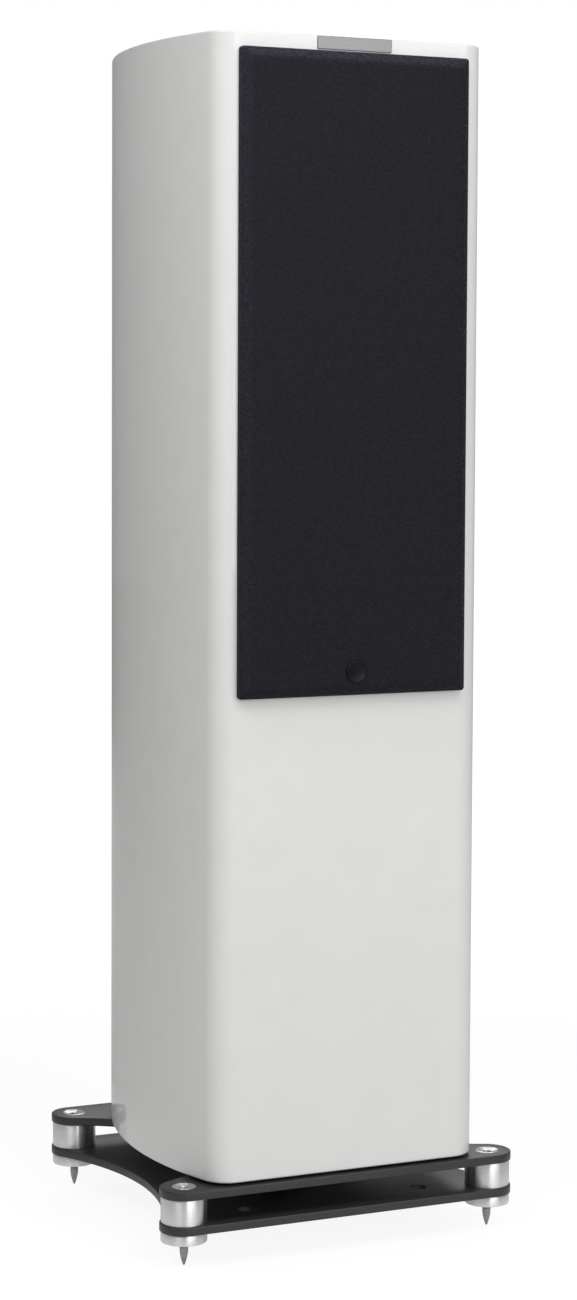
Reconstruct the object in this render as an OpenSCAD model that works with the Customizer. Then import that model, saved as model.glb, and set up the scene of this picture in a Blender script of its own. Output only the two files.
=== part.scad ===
// Floorstanding loudspeaker: a two-way bass-reflex tower with bowed sides, on a
// two-plate outrigger plinth with four adjustable spikes.
// Millimetres. X to the right, the front faces -Y, Z up, spike tips on Z = 0.

/* [Cabinet] */
// Height of the wooden cabinet
cab_h = 1036; // [1000:1:1200]
// Width of the cabinet at its widest
cab_w = 308.8; // [300:0.2:320]
// Depth of the cabinet
cab_d = 332; // [326:1:380]
// Distance from the front face to the widest place
bulge_y = 136.2; // [120:0.2:150]
// Radius of the bowed sides
side_r = 384.9; // [370:0.1:600]
// Radius of the upright edges
corner_r = 26; // [16:1:30]
// Thickness of the side, back, top and bottom panels
wall = 22; // [18:1:24]
// Thickness of the front baffle
baffle_t = 25; // [25:1:32]
// Thickness of the window braces
brace_t = 18; // [12:1:24]
// Width of the braces around their windows
brace_rim = 30; // [20:1:36]
// Thickness of the damping foam
pad_t = 14; // [8:1:20]

/* [Drivers] */
// Height of the bass driver's centre above the cabinet's underside
bass_up = 617; // [600:1:630]
// Distance between the centres of the two drivers
driver_pitch = 240; // [230:1:246]
// Radius of the driver's flange
flange_r = 107; // [105:0.5:110]
// Depth of the rebate that takes the flange
rebate_d = 7; // [6:0.5:8]
// Radius of the driver's hole through the baffle
cutout_r = 94.5; // [94:0.5:98]
// Radius of the cone
cone_r = 79; // [76:0.5:80]
// Thickness of the cone
cone_t = 1.2; // [1:0.1:1.6]
// Depth of the cone from its rim to its neck
cone_d = 33; // [28:1:36]
// Width of the half-roll surround
roll_w = 12.4; // [11:0.2:13]
// Thickness of the surround and of the spider
skin_t = 0.8; // [0.6:0.1:1.2]
// Inner radius of the voice-coil former
former_r = 24.4; // [24:0.1:26]
// Radius of the magnet
magnet_r = 66; // [58:1:70]
// Thickness of the magnet
magnet_t = 18; // [14:1:22]
// Number of screws round each flange
flange_screws = 8; // [4:1:10]
// Radius of the tweeter's dome
dome_r = 12.8; // [11:0.1:13.2]

/* [Grille] */
// Width of the grille
grille_w = 227; // [222:1:234]
// Height of the grille
grille_h = 581; // [570:1:586]
// Gap from the top of the cabinet to the top of the grille
grille_drop = 14; // [14:0.5:24]
// Thickness of the grille
grille_t = 12; // [11:0.5:16]
// Slope round the front of the grille
grille_bevel = 8; // [4:0.5:9]
// Thickness of the cloth and its glued-in edge
cloth_t = 1; // [0.8:0.1:1.4]
// Width of the frame's outer rails
rail_w = 16; // [14:1:20]
// Radius of the round badge, left bare
badge_r = 10.5; // [8:0.5:14]
// Height of the badge's centre above the grille's lower edge
badge_up = 22; // [16:1:30]
// Width of the bare plate above the grille
plate_w = 74; // [50:1:100]
// Height of the bare plate above the grille
plate_h = 12; // [8:0.5:12]

/* [Plinth] */
// Distance between the left and right spikes
foot_x = 311.4; // [300:0.2:330]
// Distance between the front and back spikes
foot_y = 288.6; // [280:0.2:310]
// Distance of the plinth's middle in front of the cabinet's middle
plinth_fwd = 3.2; // [0:0.2:6]
// Radius of the plates' round corners
lobe_r = 22.5; // [20:0.5:25]
// Thickness of each plate
plinth_t = 8; // [6:0.5:10]
// Half the width of the upper plate at its waist
upper_waist = 80; // [72:1:110]
// Half the width of the lower plate at its waist
lower_waist = 139; // [110:1:145]
// Length of the spacers between the plates
spacer_h = 24; // [18:1:32]
// Radius of the spacers
spacer_r = 21.25; // [18:0.25:22.5]
// Thickness of the lock rings
ring_t = 10; // [8:0.5:12]
// Length of the spikes below the lock rings
spike_h = 22.5; // [18:0.5:30]
// Radius of the spikes' threaded rods
rod_r = 4; // [3:0.5:5]
// Radius of the round caps in the upper plate
cap_r = 11.25; // [9:0.25:14]
// Thickness of the seal under the cabinet
seal_t = 2.5; // [1.5:0.5:4]
// Distance from the plinth's centre line to the cabinet screws
screw_x = 89; // [84:1:94]
// Distance from the plinth's middle to the cabinet screws, front to back
screw_y = 131; // [122:1:136]
// Radius of the holes that reach the cabinet screws
access_r = 7.5; // [6.5:0.5:9]

/* [Port] */
// Inner radius of the reflex port
port_r = 38; // [30:1:42]
// Length of the reflex port
port_l = 180; // [120:5:200]
// Radius of the port's flared mouth
mouth_r = 52; // [46:1:54]
// Wall of the port
port_t = 3; // [2.5:0.5:4]

/* [Terminals] */
// Width of the terminal plate
term_w = 100; // [90:1:120]
// Height of the terminal plate
term_h = 110; // [100:1:130]
// Height of the terminal plate's centre above the cabinet's underside
term_up = 115; // [105:1:130]
// Thickness of the terminal plate
term_t = 3; // [2.5:0.5:4]
// Distance between the two binding posts of a pair
post_pitch = 19; // [19:1:30]
// Distance between the upper and lower pairs
pair_pitch = 38; // [34:1:50]
// Reach of the binding posts behind the cabinet
post_out = 24; // [22:0.5:30]
// Radius of a binding post's stud
stud_r = 3.8; // [3.6:0.1:4.5]
// Radius of the 4 mm socket
socket_r = 2; // [2:0.05:2.1]
// Depth of the 4 mm socket
socket_d = 12; // [10:0.5:13]
// Radius of a binding post's knob
knob_r = 7.5; // [6.5:0.25:9]

/* [Fits] */
// Clearance of a thread or a shaft in its hole, all round
run_gap = 0.08; // [0.05:0.01:0.1]
// Clearance round a piece that is let into another
fit_gap = 0.2; // [0.1:0.05:0.5]
// Clearance between faces that turn on each other
face_gap = 0.2; // [0.1:0.05:0.4]

/* [Hidden] */
$fn = 64;
eps = 0.5;

// ---- where things stand, from the spike tips up and from the front back ----
ring_z = spike_h;
lower_z = ring_z + ring_t;
spacer_z = lower_z + plinth_t;
upper_z = spacer_z + spacer_h;
seal_z = upper_z + plinth_t;
cab_z = seal_z + seal_t;
cab_top = cab_z + cab_h;
inner_z = cab_z + wall;
inner_top = cab_top - wall;

badge_t = 1.6;
reach = badge_t + grille_t + cab_d + post_out;
front_y = -reach / 2 + badge_t + grille_t;
back_y = front_y + cab_d;
plinth_y = (front_y + back_y) / 2 - plinth_fwd;
inner_front = front_y + baffle_t;
inner_back = back_y - wall;

bass_z = cab_z + bass_up;
coax_z = bass_z + driver_pitch;
grille_top = cab_top - grille_drop;
grille_z = grille_top - grille_h;
term_z = cab_z + term_up;

// braces: one between the drivers, one under the bass driver, one low down
brace_mid = (bass_z + coax_z) / 2;
brace_low = brace_mid - driver_pitch;
brace_zs = [(inner_z + brace_low) / 2 - 30, brace_low, brace_mid];
bays = [inner_z, for (z = brace_zs) z, inner_top];

FEET = [[-1, -1], [1, -1], [1, 1], [-1, 1]];
function foot(i) = [FEET[i][0] * foot_x / 2, plinth_y + FEET[i][1] * foot_y / 2];
POSTS = [[-1, 1], [1, 1], [-1, -1], [1, -1]];
function post(i) = [POSTS[i][0] * post_pitch / 2, term_z + POSTS[i][1] * pair_pitch / 2];

// ---- outlines ----
function arc(c, r, a, b, n) = [for (i = [0:n]) c + r * [cos(a + (b - a) * i / n), sin(a + (b - a) * i / n)]];
function mirrored(p) = [for (i = [len(p) - 1:-1:0]) [-p[i][0], p[i][1]]];

// centre of the right-hand side's arc
bow = [cab_w / 2 - side_r, front_y + bulge_y];
// x of a fillet's centre that lies at y, tangent inside the side's arc
function fillet_x(y, r) = bow[0] + sqrt(pow(side_r - r, 2) - pow(y - bow[1], 2));

// the cabinet seen from above, drawn in by t on every side
module plan(t = 0) {
    r = max(corner_r - t, 3);
    fc = [fillet_x(front_y + t + r, t + r), front_y + t + r];
    bc = [fillet_x(back_y - t - r, t + r), back_y - t - r];
    af = atan2(fc[1] - bow[1], fc[0] - bow[0]);
    ab = atan2(bc[1] - bow[1], bc[0] - bow[0]);
    right = concat(arc(fc, r, -90, af, 8), arc(bow, side_r - t, af, ab, 24), arc(bc, r, ab, 90, 8));
    polygon(concat(right, mirrored(right)));
}

// the space between the two bowed walls, of thickness t, past both ends
module hollow(t) {
    a = asin((front_y - eps - bow[1]) / (side_r - t));
    b = asin((back_y + eps - bow[1]) / (side_r - t));
    right = arc(bow, side_r - t, a, b, 28);
    polygon(concat(right, mirrored(right)));
}

// a band across the plan, from one depth to another
module band(y0, y1) { translate([-cab_w, y0]) square([2 * cab_w, y1 - y0]); }

// a plinth plate: four round corners joined by hollow sides down to a waist
module plinth_outline(waist) {
    p = [foot_x / 2, foot_y / 2];
    d = waist - p[0];
    r = (p[1] * p[1] + d * d - lobe_r * lobe_r) / (2 * (lobe_r - d));
    q = [waist + r, 0];
    t = atan2(p[1], q[0] - p[0]);
    right = concat(arc([p[0], -p[1]], lobe_r, -90, t, 14), arc(q, r, 180 + t, 180 - t, 24),
        arc(p, lobe_r, -t, 90, 14));
    translate([0, plinth_y]) polygon(concat(right, mirrored(right)));
}

module rounded(w, h, r) {
    union() {
        square([w - 2 * r, h], center = true);
        square([w, h - 2 * r], center = true);
        for (x = [-1, 1], y = [-1, 1]) translate([x * (w / 2 - r), y * (h / 2 - r)]) circle(r);
    }
}

// ---- local frames: the local Z runs out of the front, or out of the back ----
module at_front(z) { translate([0, front_y, z]) rotate([90, 0, 0]) children(); }
module at_back(x, z) { translate([x, back_y, z]) rotate([-90, 0, 0]) children(); }
module at_drivers() { for (z = [bass_z, coax_z]) at_front(z) children(); }
module tube(r, hole, h) {
    difference() {
        cylinder(r = r, h = h);
        translate([0, 0, -eps]) cylinder(r = hole, h = h + 2 * eps);
    }
}
// the right-hand half of the plan
module right_half() { translate([0, -cab_d]) square([cab_w, 2 * cab_d]); }

// ---- cabinet ----
module lacquer() { color("#e4e4e2") children(); }

magnet_spots = [for (x = [-1, 1], z = [grille_z + rail_w, brace_mid, grille_top - rail_w + 3])
    [x * (grille_w / 2 - rail_w / 2 - 3), z]];
disc_r = 5;
disc_t = 3;
screw_r = 2;
screw_ring_r = (flange_r + cutout_r) / 2;
screw_l = 19;
trim_t = 2.6;
seat_h = -rebate_d + 4.2;     // front face of the flange, below the baffle's face
module at_screws() {
    for (i = [0:flange_screws - 1]) rotate((i + 0.5) * 360 / flange_screws)
        translate([screw_ring_r, 0]) children();
}

module front_baffle() {
    lacquer() difference() {
        translate([0, 0, inner_z]) linear_extrude(inner_top - inner_z)
            intersection() { plan(); band(front_y - eps, inner_front); }
        at_drivers() {
            translate([0, 0, -rebate_d]) cylinder(r = flange_r + fit_gap, h = rebate_d + eps, $fn = 96);
            translate([0, 0, -baffle_t - eps]) cylinder(r = cutout_r, h = baffle_t + 2 * eps, $fn = 96);
            translate([0, 0, -screw_l - 4]) at_screws()
                cylinder(r = screw_r + fit_gap, h = screw_l + eps, $fn = 24);
        }
        for (p = magnet_spots) at_front(p[1]) translate([p[0], 0, -disc_t])
            cylinder(r = disc_r + fit_gap, h = disc_t + eps, $fn = 32);
    }
}

module side_panel() {
    lacquer() translate([0, 0, inner_z]) linear_extrude(inner_top - inner_z) difference() {
        intersection() {
            plan();
            band(inner_front, inner_back);
            right_half();
        }
        hollow(wall);
    }
}
module right_side_panel() { side_panel(); }
module left_side_panel() { mirror([1, 0, 0]) side_panel(); }

term_cut_w = term_w - 24;
term_cut_h = term_h - 24;
term_screw_x = term_w / 2 - 6;
term_screw_z = term_h / 2 - 6;
module at_term_screws() {
    for (x = [-1, 1], z = [-1, 1]) translate([x * term_screw_x, z * term_screw_z, 0]) children();
}

module back_panel() {
    lacquer() difference() {
        translate([0, 0, inner_z]) linear_extrude(inner_top - inner_z)
            intersection() { plan(); band(inner_back, back_y + eps); }
        at_back(0, term_z) translate([0, 0, -wall - eps]) linear_extrude(wall + 2 * eps)
            square([term_cut_w, term_cut_h], center = true);
        at_back(0, term_z) translate([0, 0, -wall + 4]) at_term_screws()
            cylinder(r = screw_r + fit_gap, h = wall, $fn = 24);
    }
}

module top_panel() { lacquer() translate([0, 0, inner_top]) linear_extrude(wall) plan(); }

flange_w = 8;
port_out_r = port_r + port_t;
lip_t = 4;
cab_screw_r = 3;
cab_screw_in = 17;
module at_cab_screws() {
    for (f = FEET) translate([f[0] * screw_x, plinth_y + f[1] * screw_y, 0]) children();
}

module bottom_panel() {
    lacquer() difference() {
        translate([0, 0, cab_z]) linear_extrude(wall) plan();
        translate([0, plinth_y, cab_z]) {
            translate([0, 0, -eps]) cylinder(r = port_out_r + fit_gap, h = wall + 2 * eps);
            translate([0, 0, -eps]) cylinder(r = mouth_r + flange_w + fit_gap, h = lip_t + fit_gap + eps);
            translate([0, 0, lip_t])
                cylinder(r1 = mouth_r + 1 + fit_gap, r2 = port_out_r + fit_gap, h = wall - lip_t);
        }
        at_cab_screws() translate([0, 0, cab_z - eps])
            cylinder(r = cab_screw_r + fit_gap, h = cab_screw_in + 1, $fn = 32);
    }
}

module window_braces() {
    color("#c9a876") for (z = brace_zs) translate([0, 0, z - brace_t / 2])
        linear_extrude(brace_t) difference() {
            intersection() {
                hollow(wall);
                band(inner_front, inner_back);
            }
            intersection() {
                hollow(wall + brace_rim);
                band(inner_front + brace_rim, inner_back - brace_rim);
            }
        }
}

pad_end = 12;
pad_gap = 6;
module damping_pads() {
    color("#4a4a50") for (i = [0:len(bays) - 2], side = [0, 1]) mirror([side, 0, 0]) {
        z0 = bays[i] + (i == 0 ? 0 : brace_t / 2);
        z1 = bays[i + 1] - (i == len(bays) - 2 ? 0 : brace_t / 2);
        translate([0, 0, z0 + pad_gap]) linear_extrude(z1 - z0 - 2 * pad_gap) difference() {
            intersection() {
                hollow(wall);
                band(inner_front + pad_end, inner_back - pad_end);
                right_half();
            }
            hollow(wall + pad_t);
        }
    }
}

// moulded port: flange let into the underside, flared at both ends
module reflex_port() {
    flare = mouth_r - port_r;
    top = cab_z + port_l;
    color("#1c1c1e") translate([0, plinth_y, 0]) rotate_extrude($fn = 96) polygon(concat(
        [[mouth_r + flange_w, cab_z], [mouth_r + flange_w, cab_z + lip_t], [mouth_r + 1, cab_z + lip_t]],
        [[port_out_r, cab_z + wall - lip_t], [port_out_r, top - 10], [port_out_r + 5, top]],
        [for (a = [90:-15:0]) [port_r + 6 * (1 - cos(a)), top - 8 * (1 - sin(a))]],
        [for (a = [0:15:90]) [mouth_r - flare * cos(a), cab_z + wall * (1 - sin(a))]]));
}

// ---- crossover and wiring, on the inside of the back ----
board_w = 150;
board_h = 190;
board_t = 2;
board_off = 8;
board_z = (brace_zs[0] + brace_low) / 2;
board_y = inner_back - board_off - board_t;
module at_board(x, z) { translate([x, board_y, board_z + z]) rotate([90, 0, 0]) children(); }

module crossover_board() {
    color("#2f5d3a") {
        at_board(0, 0) translate([0, 0, -board_t]) linear_extrude(board_t) rounded(board_w, board_h, 6);
        for (x = [-1, 1], z = [-1, 1]) at_board(x * (board_w / 2 - 10), z * (board_h / 2 - 10))
            translate([0, 0, -board_t - board_off]) cylinder(r = 4, h = board_off, $fn = 32);
    }
}
// places on the board as shares of its width and height, with each part's radius
coil_h = 26;
coils = [[-0.28, 0.295, 26], [0.267, 0.305, 22], [-0.267, -0.074, 24]];
module crossover_coils() {
    color("#b4692f") for (p = coils) at_board(p[0] * board_w, p[1] * board_h) tube(p[2], p[2] * 0.45, coil_h);
}
cap_l = 48;
capacitors = [[0.227, 0.084, 13], [0.227, -0.084, 13], [0.227, -0.253, 13], [-0.267, -0.316, 10]];
resistor = [50, 10, 10];
resistors = [[0.067, -0.368], [0.067, -0.432]];
module crossover_capacitors() {
    color("#26262a") for (p = capacitors) at_board(p[0] * board_w, p[1] * board_h)
        translate([-cap_l / 2, 0, p[2]]) rotate([0, 90, 0]) cylinder(r = p[2], h = cap_l);
    color("#d8d4c8") for (p = resistors) at_board(p[0] * board_w, p[1] * board_h)
        translate([-resistor[0] / 2, -resistor[1] / 2, 0]) cube(resistor);
}

// a run of wire through a list of points, with its corners rounded by bend
function unit(v) = v / norm(v);
function rounded_path(p, bend) = [p[0],
    for (i = [1:len(p) - 2])
        let (a = p[i] + bend * unit(p[i - 1] - p[i]), b = p[i] + bend * unit(p[i + 1] - p[i]))
        for (t = [0:0.5:1]) (1 - t) * (1 - t) * a + 2 * t * (1 - t) * p[i] + t * t * b,
    p[len(p) - 1]];
module wire(points, r, bend = 9) {
    sides = 6;
    path = rounded_path(points, bend);
    n = len(path);
    rings = [for (i = [0:n - 1])
        let (t = unit(path[min(i + 1, n - 1)] - path[max(i - 1, 0)]))
        let (u = unit(cross(t, [1, 0.01, 0])), v = cross(t, u))
        for (k = [0:sides - 1]) path[i] + r * (cos(360 * k / sides) * u + sin(360 * k / sides) * v)];
    polyhedron(rings, concat(
        [[for (k = [0:sides - 1]) k]],
        [[for (k = [sides - 1:-1:0]) (n - 1) * sides + k]],
        [for (i = [0:n - 2], k = [0:sides - 1]) let (a = i * sides, m = (k + 1) % sides)
            [a + k, a + sides + k, a + sides + m, a + m]]));
}
wire_r = 1.8;
tail = 12;                             // straight end of a wire, longer than its bends
loom_y = inner_back - brace_rim - 12;
module internal_wiring() {
    // the solder tags on the rear of each basket's floor
    tag_y = front_y + base_h + floor_t + wire_r;
    color("#8c2020") for (s = [-1, 1]) {
        x = s * 6;
        for (d = [[bass_z, 26], [coax_z, 34]])
            wire([[s * d[1], board_y, board_z + board_h / 2 - 6],
                [s * d[1], board_y - tail, board_z + board_h / 2 - 6],
                [s * d[1], loom_y, board_z + board_h / 2 + tail],
                [s * d[1], loom_y, d[0] - magnet_r - 50],
                [x, tag_y + tail, d[0] - magnet_r - 1.5],
                [x, tag_y - wire_r, d[0] - magnet_r - 1.5]], wire_r);
    }
    color("#202020") for (i = [0:3]) {
        p = post(i);
        x = p[0] * (POSTS[i][1] > 0 ? 2.4 : 4);
        wire([[p[0], back_y - stud_in, p[1]],
            [p[0], back_y - stud_in - tail, p[1]],
            [x, loom_y, p[1] + 2 * tail],
            [x, loom_y, board_z - board_h / 2 - tail],
            [x, board_y - tail, board_z - board_h / 2 + 4],
            [x, board_y, board_z - board_h / 2 + 4]], wire_r);
    }
}

// ---- terminals ----
collar_h = 3;
collar_r = 8;
link_t = 0.8;
washer_t = 1.5;
stud_in = wall + 8;
post_h = post_out - term_t;
washer_h = collar_h + link_t + face_gap;
knob_h = washer_h + washer_t + face_gap;
module at_post(i) { translate([post(i)[0], back_y + term_t, post(i)[1]]) rotate([-90, 0, 0]) children(); }

module terminal_plate() {
    color("#1d1d1f") difference() {
        union() {
            at_back(0, term_z) linear_extrude(term_t) rounded(term_w, term_h, 8);
            for (i = [0:3]) at_post(i) cylinder(r = collar_r, h = collar_h);
        }
        for (i = [0:3]) at_post(i) translate([0, 0, -term_t - eps])
            cylinder(r = stud_r + fit_gap, h = term_t + collar_h + 2 * eps);
        at_back(0, term_z) translate([0, 0, -eps]) at_term_screws()
            cylinder(r = screw_r + fit_gap, h = term_t + 2 * eps, $fn = 24);
    }
}
wire_hole_r = 1.2;
module post_studs() {
    color("#d9b44a") for (i = [0:3]) at_post(i) difference() {
        union() {
            translate([0, 0, -term_t - stud_in]) cylinder(r = stud_r, h = term_t + stud_in + post_h - 1);
            translate([0, 0, -term_t - 4]) cylinder(r = collar_r - 1, h = 4, $fn = 6);
        }
        translate([0, 0, post_h - 1 - socket_d]) cylinder(r = socket_r, h = socket_d + eps);
        translate([0, 0, knob_h + wire_hole_r]) rotate([90, 0, 0])
            cylinder(r = wire_hole_r, h = 3 * stud_r, center = true, $fn = 24);
    }
}
// bare strips that join the two pairs for a single cable
module post_links() {
    color("#d9b44a") for (x = [-1, 1]) difference() {
        at_back(x * post_pitch / 2, term_z) translate([0, 0, term_t + collar_h])
            linear_extrude(link_t) rounded(10, pair_pitch + 10, 4.9);
        for (z = [-1, 1]) at_back(x * post_pitch / 2, term_z + z * pair_pitch / 2) translate([0, 0, term_t])
            cylinder(r = stud_r + fit_gap, h = 2 * collar_h);
    }
}
module post_washer(i) {
    color("#d9b44a") at_post(i) translate([0, 0, washer_h]) tube(knob_r - 0.5, stud_r + run_gap, washer_t);
}
module post_knob(i) {
    h = post_h - knob_h;
    color(i % 2 == 0 ? "#a01818" : "#18181a") at_post(i) translate([0, 0, knob_h]) difference() {
        union() {
            cylinder(r = knob_r - 1, h = h);
            translate([0, 0, 1.5]) cylinder(r = knob_r, h = h - 4);
        }
        translate([0, 0, -eps]) cylinder(r = stud_r + run_gap, h = h + 2 * eps);
        for (a = [0:30:359]) rotate(a) translate([knob_r + 0.6, 0, 2]) cylinder(r = 1.2, h = h, $fn = 20);
    }
}
module post_washer_1() { post_washer(0); }
module post_washer_2() { post_washer(1); }
module post_washer_3() { post_washer(2); }
module post_washer_4() { post_washer(3); }
module post_knob_1() { post_knob(0); }
module post_knob_2() { post_knob(1); }
module post_knob_3() { post_knob(2); }
module post_knob_4() { post_knob(3); }

// ---- drivers, drawn about their axis with Z = 0 on the baffle's face ----
rim_h = seat_h;                        // the cone's rim and the surround's lips sit here
neck_h = rim_h - cone_d;
base_h = 46 - seat_h;                  // depth of the basket's floor
floor_t = 6;
plate_t = 6;
yoke_t = 7;
former_t = 0.5;
former_out = former_r + former_t;
pole_r = former_r - 0.9;
winding_r = former_out + 1;
gap_r = winding_r + 1.1;
roll_c = cone_r + roll_w / 2 - 0.2;
lip_r = cone_r + roll_w + 3.6;
spider_h = -base_h + 7;
ledge_r = 65;

// height of the cone's front face at radius r: a gentle curve from neck to rim
function cone_at(r) = neck_h + cone_d * pow((r - former_out) / (cone_r - 4 - former_out), 0.88);

// cast basket: a flange, a sloping wall with six windows, a ledge for the spider and a floor
basket_windows = 6;
window_span = 42;
collar_d = 20;
floor_hole_r = 36;
module basket() {
    in_r = lip_r - 7.5;
    out_r = cutout_r - 1.5;
    floor_z = -base_h - floor_t;
    difference() {
        rotate_extrude($fn = 96) polygon([[in_r, seat_h], [flange_r, seat_h],
            [flange_r, -rebate_d], [out_r, -rebate_d], [out_r, -collar_d],
            [ledge_r + 5, floor_z], [floor_hole_r, floor_z], [floor_hole_r, -base_h],
            [ledge_r - 6, -base_h], [ledge_r - 6, spider_h],
            [ledge_r, spider_h], [ledge_r + 0.5, -base_h + 3],
            [in_r, -collar_d]]);
        for (i = [0:basket_windows - 1]) rotate(i * 360 / basket_windows) difference() {
            translate([0, 0, -base_h + 1]) linear_extrude(base_h - collar_d - 3) polygon([[0, 0],
                2 * flange_r * [cos(window_span / 2), -sin(window_span / 2)],
                2 * flange_r * [cos(window_span / 2), sin(window_span / 2)]]);
            translate([0, 0, -base_h - eps]) cylinder(r = ledge_r + 1.5, h = base_h, $fn = 96);
        }
        translate([0, 0, -rebate_d - eps]) at_screws()
            cylinder(r = screw_r + fit_gap, h = rebate_d + 2, $fn = 24);
    }
}
module driver_baskets() { color("#2a2a2c") at_drivers() basket(); }

module driver_trims() {
    color("#151516") at_drivers() translate([0, 0, seat_h]) difference() {
        tube(flange_r, lip_r + fit_gap, trim_t);
        translate([0, 0, -eps]) at_screws()
            cylinder(r = 2 * screw_r + 2 * fit_gap, h = trim_t + 2 * eps, $fn = 24);
    }
}
module driver_screws() {
    at_drivers() at_screws() translate([0, 0, seat_h]) difference() {
        union() {
            cylinder(r = 2 * screw_r, h = trim_t - 0.2, $fn = 24);
            translate([0, 0, -screw_l + 2]) cylinder(r = screw_r, h = screw_l - 2, $fn = 24);
        }
        translate([0, 0, 0.8]) cylinder(r = screw_r, h = trim_t, $fn = 6);
    }
}
magnet_top = -base_h - floor_t - plate_t;
yoke_top = magnet_top - magnet_t;
module driver_magnets() {
    color("#3a3a3c") at_drivers() translate([0, 0, yoke_top]) tube(magnet_r, gap_r + 6, magnet_t);
}
module driver_yokes() {
    color("#8d8f92") at_drivers() {
        translate([0, 0, magnet_top]) tube(magnet_r - 4, gap_r, plate_t);
        difference() {
            union() {
                translate([0, 0, yoke_top - yoke_t]) cylinder(r = magnet_r - 3, h = yoke_t);
                translate([0, 0, yoke_top - 1]) cylinder(r = pole_r, h = magnet_t + plate_t + 2);
            }
            translate([0, 0, yoke_top - yoke_t - eps]) cylinder(r = 6, h = magnet_t + plate_t + yoke_t + 4);
        }
    }
}

module surround(z) {
    color("#19191b") at_front(z) rotate_extrude($fn = 96) {
        translate([cone_r - 4, rim_h]) square([4, skin_t]);
        translate([cone_r + roll_w - 0.4, rim_h]) square([4, skin_t]);
        translate([roll_c, rim_h]) difference() {
            circle(roll_w / 2, $fn = 48);
            circle(roll_w / 2 - skin_t, $fn = 48);
            translate([-roll_w, -2 * roll_w]) square([2 * roll_w, 2 * roll_w]);
        }
    }
}
module cone(z, finish) {
    n = 8;
    rs = [for (i = [0:n]) former_out + 0.1 + (cone_r - 4 - former_out - 0.1) * i / n];
    color(finish) at_front(z) rotate_extrude($fn = 96) polygon(concat(
        [for (r = rs) [r, cone_at(r)]], [[cone_r, rim_h], [cone_r, rim_h - cone_t]],
        [for (i = [n:-1:0]) [rs[i], cone_at(rs[i]) - cone_t]]));
}
// corrugated centring disc
module spider(z) {
    r0 = former_out + 0.15;
    waves = 4;
    n = 24;
    ws = [for (i = [0:n]) let (t = i / n) [r0 + 3 + (ledge_r - 9 - r0) * t, 1.6 * sin(360 * waves * t)]];
    color("#c8b06a") at_front(z) rotate_extrude($fn = 72) polygon(concat(
        [[r0, spider_h]], [for (w = ws) [w[0], spider_h + w[1]]], [[ledge_r, spider_h]],
        [[ledge_r, spider_h + skin_t]], [for (i = [n:-1:0]) [ws[i][0], spider_h + skin_t + ws[i][1]]],
        [[r0, spider_h + skin_t]]));
}
module voice_coil(z) {
    w_top = -base_h - floor_t + 2;
    w_low = magnet_top - 2;
    color("#b4692f") at_front(z) rotate_extrude($fn = 72) {
        translate([former_r, w_low - 2]) square([former_t, neck_h - w_low + 1]);
        translate([former_out - 0.01, w_low]) square([winding_r - former_out, w_top - w_low]);
    }
}
module dust_cap(z) {
    r = 32;
    ball = 46;
    n = 8;
    a = asin(r / ball);
    edge = cone_at(r);
    drop = edge - ball * cos(a);
    color("#1b1b1d") at_front(z) rotate_extrude($fn = 72) polygon(concat(
        [for (i = [0:n]) [ball * sin(a * i / n), drop + ball * cos(a * i / n)]],
        [for (i = [n:-1:0]) [(ball - 0.8) * sin(a * i / n), drop + 0.3 + (ball - 0.8) * cos(a * i / n)]]));
}
module bass_surround() { surround(bass_z); }
module bass_cone() { cone(bass_z, "#232326"); }
module bass_dust_cap() { dust_cap(bass_z); }
module bass_spider() { spider(bass_z); }
module bass_voice_coil() { voice_coil(bass_z); }
module coaxial_surround() { surround(coax_z); }
module coaxial_cone() { cone(coax_z, "#232326"); }
module coaxial_spider() { spider(coax_z); }
module coaxial_voice_coil() { voice_coil(coax_z); }

// ring-shaped waveguide on the pole, with the tweeter's dome in its throat
guide_z = -base_h - floor_t + 1;
throat_r = dome_r + 0.9;
module tweeter_waveguide() {
    color("#2c2c2e") at_front(coax_z) rotate_extrude($fn = 72) polygon(concat(
        [[throat_r, guide_z], [pole_r - 0.3, guide_z], [pole_r - 0.3, guide_z + 11]],
        [for (a = [0:15:75]) [pole_r - 1.6 + 1.3 * cos(a), guide_z + 12 + 5 * sin(a)]],
        [for (a = [75:-15:0]) [throat_r + 7 * (1 - cos(a)), guide_z + 17 - 12 * (1 - sin(a))]]));
}
module tweeter_dome() {
    ball = 18;
    n = 6;
    a = asin(dome_r / ball);
    lift = guide_z + 2 - ball * cos(a);
    color("#9a9ca0") at_front(coax_z) rotate_extrude($fn = 72) polygon(concat(
        [for (i = [0:n]) [ball * sin(a * i / n), lift + ball * cos(a * i / n)]],
        [[dome_r + 0.6, guide_z + 2], [dome_r + 0.6, guide_z + 1.2]],
        [for (i = [n:-1:0]) [(ball - 0.8) * sin(a * i / n), lift + (ball - 0.8) * cos(a * i / n)]]));
}

// ---- grille ----
// a board with a slope round its front, drawn in by t all round
module sloped_board(t) {
    w = grille_w - 2 * t;
    h = grille_h - 2 * t;
    side = grille_t - grille_bevel * 0.6;
    front = grille_t - t;
    hull() {
        translate([0, 0, -hair]) linear_extrude(side - t) rounded(w, h, 3, $fn = 16);
        linear_extrude(front) rounded(w - 2 * grille_bevel, h - 2 * grille_bevel, 3, $fn = 16);
    }
}
grille_mid = grille_z + grille_h / 2;
bar_w = 26;
foot_rail = 40;
module grille_windows(grow) {
    w = grille_w - 2 * rail_w - 2 * cloth_t + grow;
    low0 = grille_z + foot_rail;
    low1 = brace_mid - bar_w / 2;
    high0 = brace_mid + bar_w / 2;
    high1 = grille_top - rail_w + 3;
    for (s = [[low0, low1], [high0, high1]]) translate([0, (s[0] + s[1]) / 2 - grille_mid, -eps])
        linear_extrude(grille_t + 2 * eps) rounded(w, s[1] - s[0] + grow, 14, $fn = 48);
}
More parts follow.
